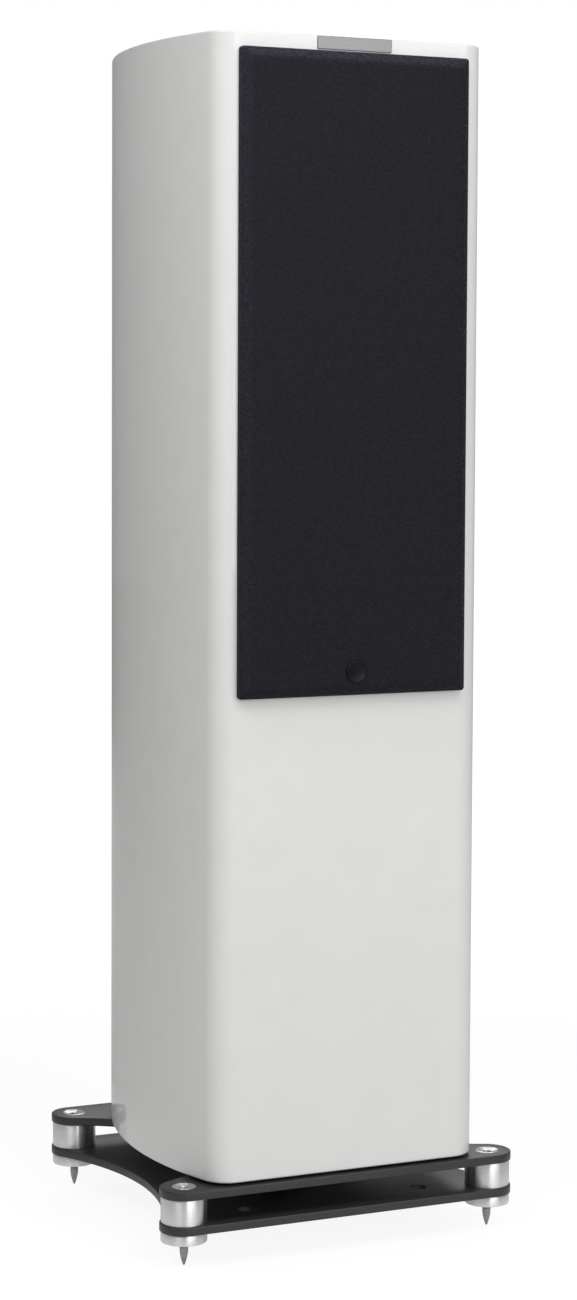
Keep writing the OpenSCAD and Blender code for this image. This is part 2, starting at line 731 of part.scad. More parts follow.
// everything in front of the baffle, by a hair
hair = 0.01;
module grille_space() {
    translate([0, 0, grille_t / 2 + hair]) cube([2 * grille_w, 2 * grille_h, grille_t], center = true);
}
module grille_frame() {
    color("#2b2b2d") difference() {
        at_front(grille_mid) difference() {
            intersection() {
                sloped_board(cloth_t);
                grille_space();
            }
            grille_windows(0);
        }
        for (p = magnet_spots) at_front(p[1]) translate([p[0], 0, -eps])
            cylinder(r = disc_r + fit_gap, h = disc_t + eps, $fn = 32);
    }
}
module grille_cloth() {
    color("#1f1f22") at_front(grille_mid) difference() {
        intersection() {
            sloped_board(0);
            grille_space();
        }
        sloped_board(cloth_t);
        translate([0, 0, -eps]) linear_extrude(eps + 2 * hair)
            square([grille_w - 2 * cloth_t, grille_h - 2 * cloth_t], center = true);
    }
}
module magnet_discs(z, t) {
    color("#b9bbc0") for (p = magnet_spots) at_front(p[1]) translate([p[0], 0, z])
        cylinder(r = disc_r, h = t, $fn = 32);
}
module grille_magnets() { magnet_discs(fit_gap, disc_t - fit_gap); }
module baffle_magnets() { magnet_discs(-disc_t, disc_t); }
module badge_disc() {
    color("#101012") at_front(grille_z + badge_up) translate([0, 0, grille_t]) union() {
        cylinder(r = badge_r, h = badge_t - 0.6);
        cylinder(r1 = badge_r - 0.4, r2 = badge_r - 1, h = badge_t);
    }
}
plate_gap = 1.5;
name_t = 1.2;
module name_plate() {
    color("#9b9da1") at_front(grille_top + plate_gap + plate_h / 2)
        linear_extrude(name_t) rounded(plate_w, plate_h, 1, $fn = 32);
}

// ---- plinth ----
module at_foot(i) { translate([foot(i)[0], foot(i)[1], 0]) children(); }
module plate_black() { color("#3c3c3e") children(); }

module upper_plate() {
    plate_black() difference() {
        translate([0, 0, upper_z]) linear_extrude(plinth_t) plinth_outline(upper_waist);
        translate([0, plinth_y, upper_z - eps]) cylinder(r = mouth_r, h = plinth_t + 2 * eps, $fn = 96);
        for (i = [0:3]) at_foot(i) translate([0, 0, upper_z - eps])
            cylinder(r = cap_r + fit_gap, h = plinth_t + 2 * eps);
        at_cab_screws() translate([0, 0, upper_z - eps])
            cylinder(r = cab_screw_r + fit_gap, h = plinth_t + 2 * eps, $fn = 32);
    }
}
module lower_plate() {
    plate_black() difference() {
        translate([0, 0, lower_z]) linear_extrude(plinth_t) plinth_outline(lower_waist);
        for (i = [0:3]) at_foot(i) translate([0, 0, lower_z - eps])
            cylinder(r = rod_r + run_gap, h = plinth_t + 2 * eps);
        at_cab_screws() translate([0, 0, lower_z - eps]) cylinder(r = access_r, h = plinth_t + 2 * eps);
    }
}
seal_in = 8;
module plinth_seal() {
    color("#0e0e0f") translate([0, 0, seal_z]) linear_extrude(seal_t) difference() {
        intersection() { plan(seal_in); plinth_outline(upper_waist); }
        translate([0, plinth_y]) circle(mouth_r, $fn = 96);
        at_cab_screws() circle(cab_screw_r + fit_gap, $fn = 32);
    }
}
// cone on the lower plate that turns the port's air outwards
module port_diffuser() {
    color("#1c1c1e") translate([0, plinth_y, spacer_z]) rotate_extrude($fn = 96) polygon(concat(
        [[0, 0], [mouth_r, 0], [mouth_r, 1.5]],
        [for (a = [10:10:80]) [mouth_r * (1 - sin(a) * 0.96), 1.5 + (spacer_h - 6) * (1 - cos(a))]],
        [[0, spacer_h - 4]]));
}
module spacers() {
    color("#c4c6c9") for (i = [0:3]) at_foot(i) translate([0, 0, spacer_z])
        tube(spacer_r, rod_r + run_gap, spacer_h);
}
dish_r = cap_r - 1.6;
dish_ball = 40;
module spike_caps() {
    color("#c9cbce") for (i = [0:3]) at_foot(i) translate([0, 0, upper_z]) difference() {
        tube(cap_r, rod_r + fit_gap, plinth_t);
        translate([0, 0, plinth_t + sqrt(dish_ball * dish_ball - dish_r * dish_r)])
            sphere(dish_ball, $fn = 96);
    }
}
ring_break = 1.4;
module lock_ring(i) {
    h = ring_t - face_gap;
    color("#b7b9bc") at_foot(i) translate([0, 0, ring_z]) difference() {
        union() {
            translate([0, 0, ring_break]) cylinder(r = spacer_r, h = h - 2 * ring_break);
            cylinder(r1 = spacer_r - ring_break, r2 = spacer_r, h = ring_break);
            translate([0, 0, h - ring_break])
                cylinder(r1 = spacer_r, r2 = spacer_r - ring_break, h = ring_break);
        }
        translate([0, 0, -eps]) cylinder(r = rod_r + run_gap, h = ring_t + 2 * eps);
    }
}
socket_af = 4;
lift_room = 6;
tip_r = 0.8;
module spike(i) {
    straight = 7;
    top = seal_z - lift_room;
    color("#a9abaf") at_foot(i) difference() {
        rotate_extrude() polygon(concat([[0, 0], [tip_r, 0]],
            [for (t = [0.2:0.2:1]) [tip_r + (rod_r - tip_r) * sin(90 * t), (spike_h - straight) * t]],
            [[rod_r, top - 0.8], [rod_r - 0.8, top], [0, top]]));
        translate([0, 0, top - 6]) cylinder(r = socket_af / sqrt(3), h = 7, $fn = 6);
    }
}
module lock_ring_1() { lock_ring(0); }
module lock_ring_2() { lock_ring(1); }
module lock_ring_3() { lock_ring(2); }
module lock_ring_4() { lock_ring(3); }
module spike_1() { spike(0); }
module spike_2() { spike(1); }
module spike_3() { spike(2); }
module spike_4() { spike(3); }

// screws that hold the drivers in the baffle, the plinth to the cabinet and the
// terminal plate to the back
module fixing_screws() {
    color("#2a2a2c") {
        driver_screws();
        at_cab_screws() translate([0, 0, upper_z]) difference() {
            union() {
                translate([0, 0, -4]) cylinder(r = 2 * cab_screw_r - 0.5, h = 4, $fn = 32);
                cylinder(r = cab_screw_r, h = plinth_t + seal_t + cab_screw_in, $fn = 32);
            }
            translate([0, 0, -4 - eps]) cylinder(r = 2.5, h = 3, $fn = 6);
        }
        at_back(0, term_z) at_term_screws() {
            translate([0, 0, term_t]) cylinder(r1 = 2 * screw_r, r2 = 1.4 * screw_r, h = 1.6, $fn = 32);
            translate([0, 0, term_t - 17]) cylinder(r = screw_r, h = 17, $fn = 24);
        }
    }
}

front_baffle();
left_side_panel();
right_side_panel();
back_panel();
top_panel();
bottom_panel();
window_braces();
damping_pads();
reflex_port();
crossover_board();
crossover_coils();
crossover_capacitors();
internal_wiring();
terminal_plate();
post_studs();
post_links();
post_washer_1();
post_washer_2();
post_washer_3();
post_washer_4();
post_knob_1();
post_knob_2();
post_knob_3();
post_knob_4();
driver_baskets();
driver_magnets();
driver_yokes();
driver_trims();
bass_surround();
bass_cone();
bass_dust_cap();
bass_spider();
bass_voice_coil();
coaxial_surround();
coaxial_cone();
coaxial_spider();
coaxial_voice_coil();
tweeter_waveguide();
tweeter_dome();
grille_frame();
grille_cloth();
grille_magnets();
baffle_magnets();
badge_disc();
name_plate();
fixing_screws();
upper_plate();
lower_plate();
plinth_seal();
port_diffuser();
spacers();
spike_caps();
lock_ring_1();
lock_ring_2();
lock_ring_3();
lock_ring_4();
spike_1();
spike_2();
spike_3();
spike_4();
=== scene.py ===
"""A floorstanding loudspeaker: lacquered cabinet with bowed sides, cloth grille over two drivers,
and a two-plate plinth on spikes. The file follows the object as it is put together."""

import math

import bmesh
import bpy
from mathutils import Matrix, Vector


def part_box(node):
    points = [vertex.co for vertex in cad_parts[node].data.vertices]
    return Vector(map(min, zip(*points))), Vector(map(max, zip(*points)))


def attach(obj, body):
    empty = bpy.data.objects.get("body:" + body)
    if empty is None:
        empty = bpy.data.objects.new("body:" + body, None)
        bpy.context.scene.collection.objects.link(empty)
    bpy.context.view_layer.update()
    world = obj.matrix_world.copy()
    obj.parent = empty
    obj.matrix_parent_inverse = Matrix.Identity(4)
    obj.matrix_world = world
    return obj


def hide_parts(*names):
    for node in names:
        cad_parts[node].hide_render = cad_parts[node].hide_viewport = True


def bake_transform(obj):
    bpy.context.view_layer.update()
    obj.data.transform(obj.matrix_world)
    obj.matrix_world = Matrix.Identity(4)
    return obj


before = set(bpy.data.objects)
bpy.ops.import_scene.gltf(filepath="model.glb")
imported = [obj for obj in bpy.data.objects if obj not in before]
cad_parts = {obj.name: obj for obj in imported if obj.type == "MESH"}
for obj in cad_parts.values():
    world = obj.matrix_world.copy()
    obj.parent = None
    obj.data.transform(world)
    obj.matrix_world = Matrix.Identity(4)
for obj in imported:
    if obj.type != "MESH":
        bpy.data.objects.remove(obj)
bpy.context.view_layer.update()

# ---- Camera ----
# It stands at the speaker's front left, two thirds of the way up, and looks down a little, as in
# the photograph, whose optical axis isn't in the middle. Angles are in radians. Lengths are in
# millimetres and are turned to metres by MM.
MM = 0.001
IMAGE_W, IMAGE_H = 577, 1300
SENSOR = 36.0
eye = Vector((-1118.9, -2496.0, 791.4)) * MM
turn, dip, roll = 0.4273, 0.0608, 0.0047
focal_px = 2836.1
axis_px = (291.2, 564.8)

forward = Vector((math.sin(turn) * math.cos(dip), math.cos(turn) * math.cos(dip), -math.sin(dip)))
level = Vector((math.cos(turn), -math.sin(turn), 0))
upright = level.cross(forward)
across = math.cos(roll) * level + math.sin(roll) * upright
upward = math.cos(roll) * upright - math.sin(roll) * level

lens = bpy.data.cameras.new("photo_camera")
lens.sensor_width = SENSOR
lens.lens = focal_px / IMAGE_H * SENSOR
lens.shift_x = (IMAGE_W / 2 - axis_px[0]) / IMAGE_H
lens.shift_y = (axis_px[1] - IMAGE_H / 2) / IMAGE_H
camera = bpy.data.objects.new("photo_camera", lens)
axes = Matrix((across, upward, -forward)).transposed()
camera.matrix_world = Matrix.Translation(eye) @ axes.to_4x4()
bpy.context.scene.collection.objects.link(camera)
bpy.context.scene.camera = camera
bpy.context.scene.view_settings.view_transform = "Standard"


# ---- Studio ----
# A pale paper floor in an evenly lit room, with a broad softbox in front, smaller ones at the
# right, at the left and overhead, and one behind for the back. The camera sees floor and sky as
# white paper, and the floor keeps a trace of the shadow.
def srgb(code):
    """The linear colour of a hex code such as D9D9D7."""
    parts = [int(code[i:i + 2], 16) / 255 for i in (0, 2, 4)]
    return (*[c / 12.92 if c <= 0.04045 else ((c + 0.055) / 1.055) ** 2.4 for c in parts], 1.0)


def add(tree, kind, inputs=None, **settings):
    """Adds a node with its settings, and its inputs from values or from other nodes' outputs."""
    made = tree.nodes.new(kind)
    for name, value in settings.items():
        setattr(made, name, value)
    for name, value in (inputs or {}).items():
        if isinstance(value, bpy.types.NodeSocket):
            tree.links.new(value, made.inputs[name])
        else:
            made.inputs[name].default_value = value
    return made


FLOOR_R, FLOOR_SIDES = 9.0, 64
PAPER_GLOW = 1.08
PAPER_SHARE = 0.84
SHADOW_REACH = 1.6
GLOSS_REACH, GLOSS_SHARE = 0.42, 0.4
SKY_LIGHT = 0.275

paper = bpy.data.materials.new("white_paper_floor")
paper.use_nodes = True
tree = paper.node_tree
tree.nodes.clear()
matt = add(tree, "ShaderNodeBsdfDiffuse", {"Color": srgb("E6E6E5")})
white = add(tree, "ShaderNodeEmission", {"Color": srgb("FFFFFF"), "Strength": PAPER_GLOW})
# the paper is plain white further out than the shadow reaches
spot = add(tree, "ShaderNodeTexCoord")
distance = add(tree, "ShaderNodeVectorMath", {0: spot.outputs["Object"]}, operation="LENGTH")
share = add(tree, "ShaderNodeMapRange",
            {0: distance.outputs["Value"], 1: SHADOW_REACH / 2, 2: SHADOW_REACH, 3: PAPER_SHARE,
             4: 1.0})
ray = add(tree, "ShaderNodeLightPath")
shown = add(tree, "ShaderNodeMath", {0: share.outputs[0], 1: ray.outputs["Is Camera Ray"]},
            operation="MULTIPLY")
# the turned metal near the floor mirrors the same white paper
close = add(tree, "ShaderNodeMapRange",
            {0: distance.outputs["Value"], 1: GLOSS_REACH, 2: 1.3 * GLOSS_REACH, 3: GLOSS_SHARE,
             4: 0.0})
mirrored = add(tree, "ShaderNodeMath", {0: close.outputs[0], 1: ray.outputs["Is Glossy Ray"]},
               operation="MULTIPLY")
seen = add(tree, "ShaderNodeMath", {0: shown.outputs[0], 1: mirrored.outputs[0]},
           operation="MAXIMUM")
mixed = add(tree, "ShaderNodeMixShader",
            {0: seen.outputs[0], 1: matt.outputs[0], 2: white.outputs[0]})
add(tree, "ShaderNodeOutputMaterial", {"Surface": mixed.outputs[0]})

sheet = bpy.data.meshes.new("floor")
turns = [2 * math.pi * k / FLOOR_SIDES for k in range(FLOOR_SIDES)]
sheet.from_pydata([(FLOOR_R * math.cos(a), FLOOR_R * math.sin(a), 0) for a in turns], [],
                  [tuple(range(FLOOR_SIDES))])
sheet.materials.append(paper)
floor = bpy.data.objects.new("floor", sheet)
bpy.context.scene.collection.objects.link(floor)

world = bpy.data.worlds.new("studio")
bpy.context.scene.world = world
world.use_nodes = True
tree = world.node_tree
tree.nodes.clear()
room = add(tree, "ShaderNodeBackground", {"Color": srgb("FFFFFF"), "Strength": SKY_LIGHT})
backdrop = add(tree, "ShaderNodeBackground", {"Color": srgb("FFFFFF"), "Strength": 1.0})
camera_ray = add(tree, "ShaderNodeLightPath").outputs["Is Camera Ray"]
mixed = add(tree, "ShaderNodeMixShader",
            {0: camera_ray, 1: room.outputs[0], 2: backdrop.outputs[0]})
add(tree, "ShaderNodeOutputWorld", {"Surface": mixed.outputs[0]})


def lamp(name, at, target, size, power):
    """A rectangular softbox of size (width, height) in metres at a point, turned to a target."""
    light = bpy.data.lights.new(name, "AREA")
    light.shape = "RECTANGLE"
    light.size, light.size_y = size
    light.energy = power
    stand = bpy.data.objects.new(name, light)
    aim = (Vector(target) - Vector(at)).to_track_quat("-Z", "Y")
    stand.matrix_world = Matrix.Translation(at) @ aim.to_matrix().to_4x4()
    bpy.context.scene.collection.objects.link(stand)


lamp("front_softbox", (0.3, -3.5, 1.2), (0, 0, 0.6), (1.6, 1.6), 25)
lamp("right_softbox", (1.6, -3.0, 1.7), (0, 0, 0.7), (1.2, 1.6), 16)
lamp("left_softbox", (-1.3, -0.9, 2.3), (0, 0, 0.8), (1.0, 1.0), 18.5)
lamp("top_softbox", (0.2, -1.5, 2.4), (0, 0, 0.8), (1.0, 1.0), 15.5)
lamp("back_softbox", (1.4, 2.8, 2.2), (0, 0, 0.7), (1.4, 1.4), 24)

# ---- Cabinet ----
# MDF panels glued and mitred into one shell, primed, filled and sprayed, so no joint shows:
# gloss polyester lacquer in white, with bowed sides, rounded uprights and openings cut in it.
# Cutters reach PAST a panel's faces, so that no skin of it is left.
CAB_W, CAB_D, CAB_H = 308.8, 332.0, 1036.0
BULGE_Y = 136.2
SIDE_R = 384.9
CORNER_R = 26.0
WALL = 22.0
BAFFLE_T = 25.0
EDGE_R = 1.6
PAST = 5.0

front_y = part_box("front_baffle")[0][1] / MM
back_y = front_y + CAB_D
cab_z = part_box("bottom_panel")[0][2] / MM
cab_top = cab_z + CAB_H
inner_z, inner_top = cab_z + WALL, cab_top - WALL
inner_front, inner_back = front_y + BAFFLE_T, back_y - WALL
BASS_Z, COAX_Z = cab_z + 617, cab_z + 857
bow = (CAB_W / 2 - SIDE_R, front_y + BULGE_Y)


def arc(centre, radius, start, end, steps):
    """Points along an arc, angles in degrees."""
    turns = [math.radians(start + (end - start) * i / steps) for i in range(steps + 1)]
    return [(centre[0] + radius * math.cos(a), centre[1] + radius * math.sin(a)) for a in turns]


def both_sides(right):
    """A right-hand outline, from front to back, closed by its mirror image."""
    return right + [(-x, y) for x, y in reversed(right)]


def cabinet_plan(inset=0.0):
    """The cabinet seen from above, drawn in all round, with short flats beside the corners."""
    r = max(CORNER_R - inset, 3.0)

    def fillet(y):
        reach = SIDE_R - inset - r
        return (bow[0] + math.sqrt(reach ** 2 - (y - bow[1]) ** 2), y)

    ahead, behind = fillet(front_y + inset + r), fillet(back_y - inset - r)
    to_front = math.degrees(math.atan2(ahead[1] - bow[1], ahead[0] - bow[0]))
    to_back = math.degrees(math.atan2(behind[1] - bow[1], behind[0] - bow[0]))
    right = [(ahead[0] - 2, front_y + inset)]
    right += arc(ahead, r, -90, to_front, 16)
    right += arc(bow, SIDE_R - inset, to_front, to_back, 40)[1:]
    right += arc(behind, r, to_back, 90, 16)[1:]
    right += [(behind[0] - 2, back_y - inset)]
    return both_sides(right)


def loft(rings, closed=False, capped=True):
    """Points and faces of a skin through rings of points that have equal counts."""
    count = len(rings[0])
    points = [p for ring in rings for p in ring]
    faces = []
    for i in range(len(rings) if closed else len(rings) - 1):
        a, b = i * count, (i + 1) % len(rings) * count
        faces += [(a + k, a + (k + 1) % count, b + (k + 1) % count, b + k) for k in range(count)]
    if capped and not closed:
        last = (len(rings) - 1) * count
        faces += [tuple(range(count))[::-1], tuple(range(last, last + count))]
    return points, faces


def joined(shapes):
    """Several shapes as one list of points and faces."""
    points, faces = [], []
    for more_points, more_faces in shapes:
        start = len(points)
        points += more_points
        faces += [tuple(start + i for i in face) for face in more_faces]
    return points, faces


def piece(name, shape, finish, body="root", sharp=35):
    """A mesh piece from millimetre points and faces: smooth except across sharp edges."""
    mesh = bpy.data.meshes.new(name)
    mesh.from_pydata([[c * MM for c in p] for p in shape[0]], [], shape[1])
    mesh.validate()
    welded = bmesh.new()
    welded.from_mesh(mesh)
    bmesh.ops.remove_doubles(welded, verts=welded.verts, dist=1e-6)
    bmesh.ops.recalc_face_normals(welded, faces=welded.faces)
    welded.to_mesh(mesh)
    welded.free()
    mesh.shade_smooth()
    mesh.set_sharp_from_angle(angle=math.radians(sharp))
    made = bpy.data.objects.new(name, mesh)
    if finish:
        mesh.materials.append(finish)
    bpy.context.scene.collection.objects.link(made)
    if body:
        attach(made, body)
    return made


def cut(thing, shapes, sharp=35):
    """Cuts closed shapes out of a piece, and leaves the result as its own mesh."""
    tools = [piece("cutter", shape, None, None) for shape in shapes]
    for tool in tools:
        step = thing.modifiers.new("cut", "BOOLEAN")
        step.operation, step.solver, step.object = "DIFFERENCE", "EXACT", tool
    shown = thing.evaluated_get(bpy.context.evaluated_depsgraph_get())
    mesh = bpy.data.meshes.new_from_object(shown)
    thing.modifiers.clear()
    thing.data = mesh
    mesh.shade_smooth()
    mesh.set_sharp_from_angle(angle=math.radians(sharp))
    for tool in tools:
        bpy.data.objects.remove(tool)


def turned(profile, place, steps=96, closed=False, capped=True):
    """A lathe: profile points are (radius, height along the axis), place puts one on the object."""
    turns = [2 * math.pi * k / steps for k in range(steps)]
    rings = [[place(r * math.cos(a), r * math.sin(a), h) for a in turns] for r, h in profile]
    return loft(rings, closed, capped)


def out_of_front(z):
    """Places lathe work on the baffle at height z, with its axis coming out of the front."""
    return lambda u, v, h: (u, front_y - h, z + v)


def standing(x, y, z=0.0):
    """Places lathe work upright on a point."""
    return lambda u, v, h: (x + u, y + v, z + h)


def textured(name, slot, pattern, colours, depth, **sockets):
    """A material of a record slot: a pattern tints it between two hex codes and raises it by
    a depth in millimetres. Other values, the same all over, go straight to the shader's sockets."""
    made = bpy.data.materials.new(name)
    made["slot"] = slot
    made.use_nodes = True
    tree = made.node_tree
    shader = tree.nodes["Principled BSDF"]
    for socket, value in sockets.items():
        shader.inputs[socket.replace("_", " ")].default_value = value
    height = pattern(tree, add(tree, "ShaderNodeTexCoord").outputs["Object"])
    tint = add(tree, "ShaderNodeMix", {0: height, 6: srgb(colours[0]), 7: srgb(colours[1])},
               data_type="RGBA")
    raised = add(tree, "ShaderNodeBump", {"Height": height, "Distance": depth * MM})
    tree.links.new(tint.outputs[2], shader.inputs["Base Color"])
    tree.links.new(raised.outputs[0], shader.inputs["Normal"])
    return made


def grain(size, stretch=(1, 1, 1), detail=2.0):
    """A pattern of irregular spots of a size in millimetres, longer where stretch is below 1."""
    def pattern(tree, place):
        scaled = add(tree, "ShaderNodeMapping", {"Vector": place, "Scale": stretch})
        return add(tree, "ShaderNodeTexNoise", {"Vector": scaled.outputs[0], "Scale": 1000 / size,
                                                "Detail": detail}).outputs["Fac"]
    return pattern


# White polyester lacquer, polished: a hard mirror coat over an opaque white, with the very slight
# long waves that spraying leaves, so that reflections waver a little.
lacquer = textured("white_gloss_lacquer", "lacquer", grain(26), ("DCDCDB", "E1E1E0"), 0.05,
                   Roughness=0.42, Specular_IOR_Level=0.3, Coat_Weight=0.7, Coat_Roughness=0.03,
                   Coat_IOR=1.5)

edge_turn = [math.radians(a) for a in (0, 22.5, 45, 67.5, 90)]
steps_up = [(EDGE_R * (1 - math.sin(a)), cab_z + EDGE_R * (1 - math.cos(a))) for a in edge_turn]
steps_down = [(t, cab_z + cab_top - z) for t, z in reversed(steps_up)]
skin = [(0.0, cab_z + EDGE_R + 1), (0.0, cab_top - EDGE_R - 1)]
shell = piece("cabinet_shell", loft([[(x, y, z) for x, y in cabinet_plan(t)]
                                     for t, z in steps_up + skin + steps_down]), lacquer)

# Openings: the hollow inside, a rebate and a hole for each driver, the terminal and port holes.
REBATE_R, REBATE_D, CUTOUT_R = 107.2, 7.0, 94.5
TERM_Z = cab_z + 115
TERM_CUT = (76.0, 86.0)
lower_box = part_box("lower_plate")
PLINTH_Y = (lower_box[0][1] + lower_box[1][1]) / 2 / MM
PORT_HOLE_R, PORT_MOUTH_R, PORT_LIP_R, LIP_T = 41.2, 53.2, 60.2, 4.0
openings = [loft([[(x, y, z) for x, y in cabinet_plan(WALL)] for z in (inner_z, inner_top)])]
for z in (BASS_Z, COAX_Z):
    openings.append(turned([(REBATE_R, -REBATE_D), (REBATE_R, PAST)], out_of_front(z), 128))
    openings.append(turned([(CUTOUT_R, -BAFFLE_T - PAST), (CUTOUT_R, 0)], out_of_front(z), 128))
half_w, half_h = TERM_CUT[0] / 2, TERM_CUT[1] / 2
window = [(-half_w, -half_h), (half_w, -half_h), (half_w, half_h), (-half_w, half_h)]
openings.append(loft([[(x, y, TERM_Z + z) for x, z in window]
                      for y in (inner_back - PAST, back_y + PAST)]))
openings.append(turned([(PORT_LIP_R, -PAST), (PORT_LIP_R, LIP_T), (PORT_MOUTH_R, LIP_T),
                        (PORT_HOLE_R, WALL), (PORT_HOLE_R, WALL + PAST)],
                       standing(0, PLINTH_Y, cab_z)))
cut(shell, openings)
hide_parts("front_baffle", "left_side_panel", "right_side_panel", "back_panel", "top_panel",
            "bottom_panel")


# ---- Braces and damping ----
# Three birch plywood frames glued in across the cabinet, and pads of egg-crate foam glued to the
# side walls between them.
def dress(node, finish, sharp=35):
    """Gives a carried-over CAD solid its finish and smooth shading across its shallow edges."""
    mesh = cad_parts[node].data
    mesh.materials.clear()
    mesh.materials.append(finish)
    mesh.shade_smooth()
    mesh.set_sharp_from_angle(angle=math.radians(sharp))


# Birch plywood, sawn and left raw: pale yellow, with dark and light plies on its edges.
VENEER = 1.5


def plies(tree, place):
    """Layers of veneer on the edges, long grain on the faces."""
    layers = add(tree, "ShaderNodeTexWave",
                 {"Vector": place, "Scale": math.pi / 10 * 1000 / VENEER}, bands_direction="Z")
    long_grain = grain(3, (0.08, 1, 1), 4.0)(tree, place)
    both = add(tree, "ShaderNodeMath", {0: layers.outputs["Fac"], 1: long_grain},
               operation="MULTIPLY")
    return both.outputs[0]


dress("window_braces",
      textured("birch_plywood", "birch_ply", plies, ("A98757", "E3CFA6"), 0.1, Roughness=0.65))

BRACE_T, LOW_BRACE_DROP = 18.0, 30.0
PAD_T, PAD_END, PAD_GAP = 14.0, 12.0, 6.0
CRATE_PITCH = 42.0
PAD_EDGE, PAD_THIN = 7.0, 0.3
brace_mid = (BASS_Z + COAX_Z) / 2
brace_low = brace_mid - (COAX_Z - BASS_Z)
brace_zs = [(inner_z + brace_low) / 2 - LOW_BRACE_DROP, brace_low, brace_mid]


def pad_height(along, up, length, height):
    """Thickness of the foam: round at the pad's edges, with rows of soft peaks in between."""
    edge = min(along, length - along, up, height - up) / PAD_EDGE
    edge = math.sqrt(max(0.0, 1 - (1 - min(edge, 1)) ** 2))
    peak = math.cos(2 * math.pi * along / CRATE_PITCH) * math.cos(2 * math.pi * up / CRATE_PITCH)
    return edge * PAD_T * (0.72 + 0.26 * peak)


def foam_pad(side, low, high):
    """A closed pad on a bowed wall, between two heights."""
    wall_r = SIDE_R - WALL - 0.1
    start, end = (math.asin((y - bow[1]) / wall_r)
                  for y in (inner_front + PAD_END, inner_back - PAD_END))
    length, steps, rows = (end - start) * wall_r, 40, max(8, round((high - low) / 6))
    rings = []
    for row in range(rows + 1):
        up = (high - low) * row / rows
        ring = []
        for k in list(range(steps + 1)) + list(range(steps, -1, -1)):
            on_wall = len(ring) <= steps
            a = start + (end - start) * k / steps
            thick = 0 if on_wall else max(PAD_THIN, pad_height(length * k / steps, up, length,
                                                               high - low))
            r = wall_r - thick
            ring.append((side * (bow[0] + r * math.cos(a)), bow[1] + r * math.sin(a), low + up))
        rings.append(ring)
    return loft(rings)


floors = [inner_z - BRACE_T / 2, *brace_zs, inner_top + BRACE_T / 2]
pads = [foam_pad(side, a + BRACE_T / 2 + PAD_GAP, b - BRACE_T / 2 - PAD_GAP)
        for a, b in zip(floors, floors[1:]) for side in (-1, 1)]
# Open-cell polyurethane foam, cut by a profiled roller: charcoal grey and dull, with open pores.
foam = textured("open_cell_foam", "foam", grain(1.5, detail=6.0), ("2E2E31", "5A5A5F"), 0.6,
                Roughness=0.95, Specular_IOR_Level=0.1)
damping = piece("egg_crate_damping", joined(pads), foam)
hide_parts("damping_pads")

# ---- Crossover and wiring ----
# A fibreglass board on four stand-offs inside the back, with coils wound from enamelled copper,
# film capacitors, ceramic resistors, and soldered cables to the posts and to both drivers.
STAND_OFF = 10.0
BOARD_Y = inner_back - STAND_OFF
BOARD_Z = (brace_zs[0] + brace_low) / 2
BOARD_W, BOARD_H = 150.0, 190.0


def on_board(x, z):
    """Places work on the board's face, at shares of its width and height from its middle."""
    return lambda u, v, h: (x * BOARD_W + u, BOARD_Y - h, BOARD_Z + z * BOARD_H + v)


def along_x(x, z, r, length):
    """The same for a round part that lies on the board, its axis along X."""
    return lambda u, v, h: (x * BOARD_W - length / 2 + h, BOARD_Y - r - u,
                            BOARD_Z + z * BOARD_H + v)


# Fibreglass board under green solder lacquer: the weave shows faintly through a soft gloss.
dress("crossover_board",
      textured("fibreglass_board", "circuit_board", grain(1.2, (1, 1, 0.2)), ("1F4A2C", "376B45"),
               0.03, Roughness=0.35, Coat_Weight=0.4))

WIRE_D = 1.4
COIL_H = 26.0


def winding(r):
    """A coil's outline: turns of round wire side by side, outside and on both faces."""
    hole = r * 0.45
    around = math.floor((r - hole) / WIRE_D)
    pitch = (r - hole) / around
    outline = [(hole, 0.4)]
    for k in range(around):
        outline += [(hole + (k + 0.5) * pitch, 0.0), (hole + (k + 1) * pitch, 0.4)]
    stack = math.floor(COIL_H / WIRE_D) - 1
    for k in range(stack):
        base = 0.4 + (COIL_H - 0.8) * k / stack
        outline += [(r, base + (COIL_H - 0.8) / stack / 2),
                    (r - 0.4, base + (COIL_H - 0.8) / stack)]
    for k in range(around, 0, -1):
        outline += [(hole + (k - 0.5) * pitch, COIL_H), (hole + (k - 1) * pitch, COIL_H - 0.4)]
    return outline


# Enamelled copper wire: metal seen through an orange-brown varnish, so that it glints warmly.
COILS = ((-0.28, 0.295, 26), (0.267, 0.305, 22), (-0.267, -0.074, 24))
enamel = textured("enamelled_copper", "copper", grain(4, detail=3.0), ("9A5222", "C97B3C"), 0.02,
                  Metallic=0.85, Roughness=0.3, Coat_Weight=0.5)
coils = piece("wound_coils", joined([turned(winding(r), on_board(x, z), 64, closed=True)
                                     for x, z, r in COILS]), enamel)
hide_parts("crossover_coils")

# Capacitors wrapped in film, with a smooth dark shine, and resistors cast in ceramic, chalky
# white. Each one's place is in shares of the board, and its radius in millimetres.
CAP_L = 48.0
CAPACITORS = ((0.227, 0.084, 13), (0.227, -0.084, 13), (0.227, -0.253, 13), (-0.267, -0.316, 10))
film = textured("capacitor_film", "component_plastic", grain(3, detail=3.0), ("18181B", "2B2B30"),
                0.05, Roughness=0.28, Coat_Weight=0.3)
ceramic = textured("white_ceramic", "component_plastic", grain(0.9, detail=4.0),
                   ("C9C5B8", "E4E0D4"), 0.08, Roughness=0.8)
parts = [turned([(0.01, 1.2), (2, 1.2), (r - 2.5, 0.6), (r - 0.8, 0), (r, 1.2),
                 (r - 0.15, CAP_L / 2), (r, CAP_L - 1.2), (r - 0.8, CAP_L), (r - 2.5, CAP_L - 0.6),
                 (2, CAP_L - 1.2), (0.01, CAP_L - 1.2)], along_x(x, z, r, CAP_L), 48)
         for x, z, r in CAPACITORS]
capacitors = piece("film_capacitors", joined(parts), film)
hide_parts("crossover_capacitors")


